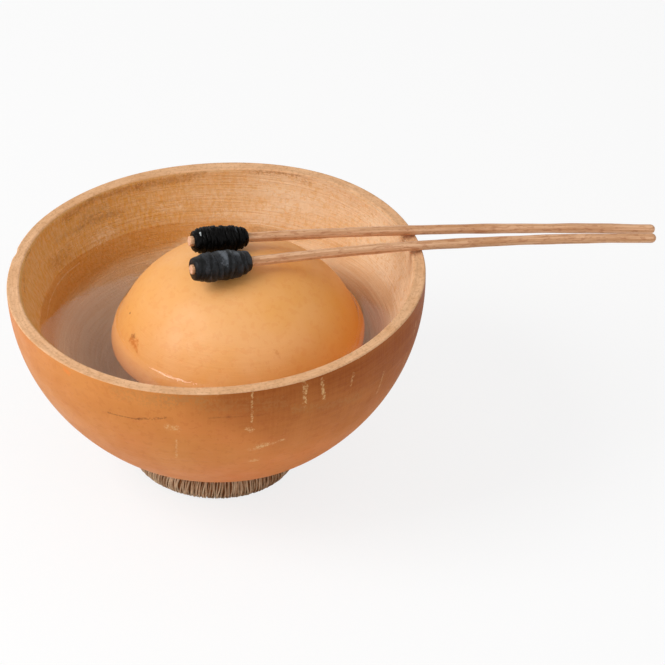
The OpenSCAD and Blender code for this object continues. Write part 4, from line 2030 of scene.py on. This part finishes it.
    def build_bowl(self) -> GourdBowl:
        """Builds and dresses the bowl.

        Returns:
            The bowl, whose inner wall the water needs.
        """
        bowl = GourdBowl()
        blank = bpy.data.materials.new("unset_bowl")
        cut = SawnRim("bowl_cut_rim", (0.82, 0.485, 0.265), (0.71, 0.38, 0.18), (0.46, 0.23, 0.1))
        piece = bowl.build(blank, cut.make(self.effects), blank)
        tree = tree_of(piece)
        marks = self._bowl_marks(Wall(tree))
        flesh = GourdFlesh(
            "bowl_flesh", light=(0.90, 0.66, 0.43), dark=(0.79, 0.52, 0.31), stain_and_shade=(0.72, 0.34, 0.07),
            wet=(0.9, 0.76, 0.55), deep_painted_light=(0.97, 0.73, 0.47), level=168.2 * MM, lean=3.6,
            marks=self._wall_marks(Wall(tree, inner=True)),
        )
        piece.data.materials[2] = flesh.make(self.effects)
        skin = GourdSkin(
            "bowl_skin", light=(0.69, 0.265, 0.061), dark=(0.6, 0.212, 0.044), ruddy=(0.69, 0.215, 0.058),
            bare=(0.78, 0.42, 0.2), rough=0.42, sheen=0.14, bands=0.17, painted_shade=(0.28, 0.06, 0.003),
            lean=3.5, shade_upward=8.0, pits=0.1, scuffed=0.42, marks=marks,
        )
        piece.data.materials[0] = skin.make(self.effects)
        self._keep(piece, "bowl", "bowl", "bowl_gourd")
        self.book.note_band(RIM_FRONT, piece, 1)
        return bowl

    def build_float(self) -> GourdFloat:
        """Builds and dresses the float.

        Returns:
            The float, whose radius the water needs.
        """
        gourd = GourdFloat()
        blank = bpy.data.materials.new("unset_float")
        cut = SawnRim("float_cut_edge", (0.74, 0.42, 0.2), (0.6, 0.3, 0.12), (0.34, 0.16, 0.07))
        flesh = GourdFlesh(
            "float_flesh", light=(0.78, 0.48, 0.24), dark=(0.62, 0.33, 0.14), stain_and_shade=(0.48, 0.23, 0.08),
            wet=(0.8, 0.7, 0.55), deep_painted_light=(0.5, 0.3, 0.15), level=154.8 * MM, lean=0.0,
        )
        piece = gourd.build(blank, cut.make(self.effects), flesh.make(self.effects))
        marks = self._float_marks(Wall(tree_of(piece), gourd.axis))
        skin = GourdSkin(
            "float_skin", light=(0.86, 0.44, 0.17), dark=(0.82, 0.38, 0.11), ruddy=(0.84, 0.39, 0.09),
            bare=(0.80, 0.45, 0.2), rough=0.5, sheen=0.4, bands=0.05, painted_shade=(0.78, 0.30, 0.022),
            lean=5.0, shade_upward=0.0, pits=0.1, scuffed=0.2, marks=marks,
        )
        piece.data.materials[0] = skin.make(self.effects)
        self._keep(piece, "float", "float_gourd", "float_gourd")
        return gourd

    def build_water(self, bowl: GourdBowl, gourd: GourdFloat) -> None:
        """Builds and dresses the water."""
        piece = PoolOfWater(bowl, gourd).build(StillWater().make())
        self._keep(piece, "water", "water", "water")

    def build_beaters(self) -> None:
        """Builds and dresses both beaters."""
        wood = TurnedWood("beater_wood", (0.82, 0.49, 0.285), (0.5, 0.22, 0.085), 6.0, 420.0, 0.42)
        end_wood = TurnedWood("beater_end_grain", (0.86, 0.52, 0.34), (0.68, 0.36, 0.2), 700.0, 700.0, 0.7)
        finishes = wood.make(self.effects), end_wood.make(self.effects)
        black = RubberStrip("black_strip", (0.0012, 0.001, 0.001), (0.009, 0.007, 0.006), 0.3, 0.06, 0.4)
        grey = RubberStrip("grey_strip", (0.0025, 0.0025, 0.0025), (0.05, 0.054, 0.062), 0.4, 0.14, 0.9)
        rear = Beater(
            "rear", middle=(4 * MM, 2 * MM, 261.012 * MM), crossing=(197.311 * MM, 59.196 * MM),
            pitch=7.465, bend=3.0, head_length=58 * MM, head_radius=14.25 * MM, turns=16,
            stick_length=486 * MM, winding=Winding.NARROW, seed=3, tip_out=3 * MM,
            tip_share=0.72, neck_share=0.52, bare_share=0.008,
        )
        front = Beater(
            "front", middle=(6 * MM, -42 * MM, 258.862 * MM), crossing=(203.63 * MM, 31.16 * MM),
            pitch=6.544, bend=1.9, head_length=62 * MM, head_radius=15.5 * MM, turns=9,
            stick_length=488 * MM, winding=Winding.WIDE, seed=11, tip_out=1.2 * MM,
            tip_share=0.7, neck_share=0.56, bare_share=0.012,
        )
        for beater, rubber, slot in ((rear, black, "black_rubber"), (front, grey, "grey_rubber")):
            body = f"{beater.name}_beater"
            stick = beater.build_stick(*finishes)
            self._keep(stick, body, f"{beater.name}_stick", "stick_wood")
            self.book.note_right_end(REAR_END if beater is rear else FRONT_END, stick)
            if beater is rear:
                self.book.note_middle(REAR_TIP, stick, 1)
            head = beater.build_head(bpy.data.materials.new(f"unset_{slot}"))
            marks = self._head_marks(tree_of(head), beater)
            head.data.materials[0] = replace(rubber, marks=marks).make(self.effects)
            self._keep(head, body, f"{beater.name}_winding", slot)

    def build_ring(self, frame: dict) -> None:
        """Dresses the CAD core in straw and builds the lashing over it.

        Args:
            frame: The loaded CAD frame.
        """
        core = frame["nodes"]["ring_core"]
        straw = Straw("ring_straw", (0.3, 0.17, 0.08), (0.07, 0.035, 0.016), 0.9).make(self.effects, False)
        core.data.materials.clear()
        core.data.materials.append(straw)
        cord = Straw("lashing_cord", (1.0, 0.80, 0.54), (0.34, 0.15, 0.045), 1.0).make(self.effects, True)
        self._keep(LashedRing().build(cord), "stand", "ring_lashing", "fibre_cord")
        self.pieces.append(core)
        LOG.info("ring_core: CAD node kept, dressed in straw")


def corners() -> list[list[float]]:
    """The object's box as plain lists."""
    return [[float(x) for x in corner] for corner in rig.bounds()]


def main() -> None:
    """Builds the drum and the studio in order, and writes sizes and image points."""
    logging.basicConfig(level=logging.INFO, format="%(name)s: %(message)s")
    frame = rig.load()
    cad_box = corners()
    sight = Sight()
    sight.make()
    book = PointBook(sight)
    drum = WaterDrum(Effects(), sight, book)
    bowl = drum.build_bowl()
    gourd = drum.build_float()
    drum.build_water(bowl, gourd)
    drum.build_beaters()
    drum.build_ring(frame)
    Studio().build()
    bpy.context.scene.view_settings.view_transform = "Standard"
    book.note_edges(drum.pieces)
    book.write("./points.json")
    with open("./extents.json", "w", encoding="utf-8") as out:
        json.dump({"cad": cad_box, "visual": corners()}, out)


if __name__ == "__main__":
    main()
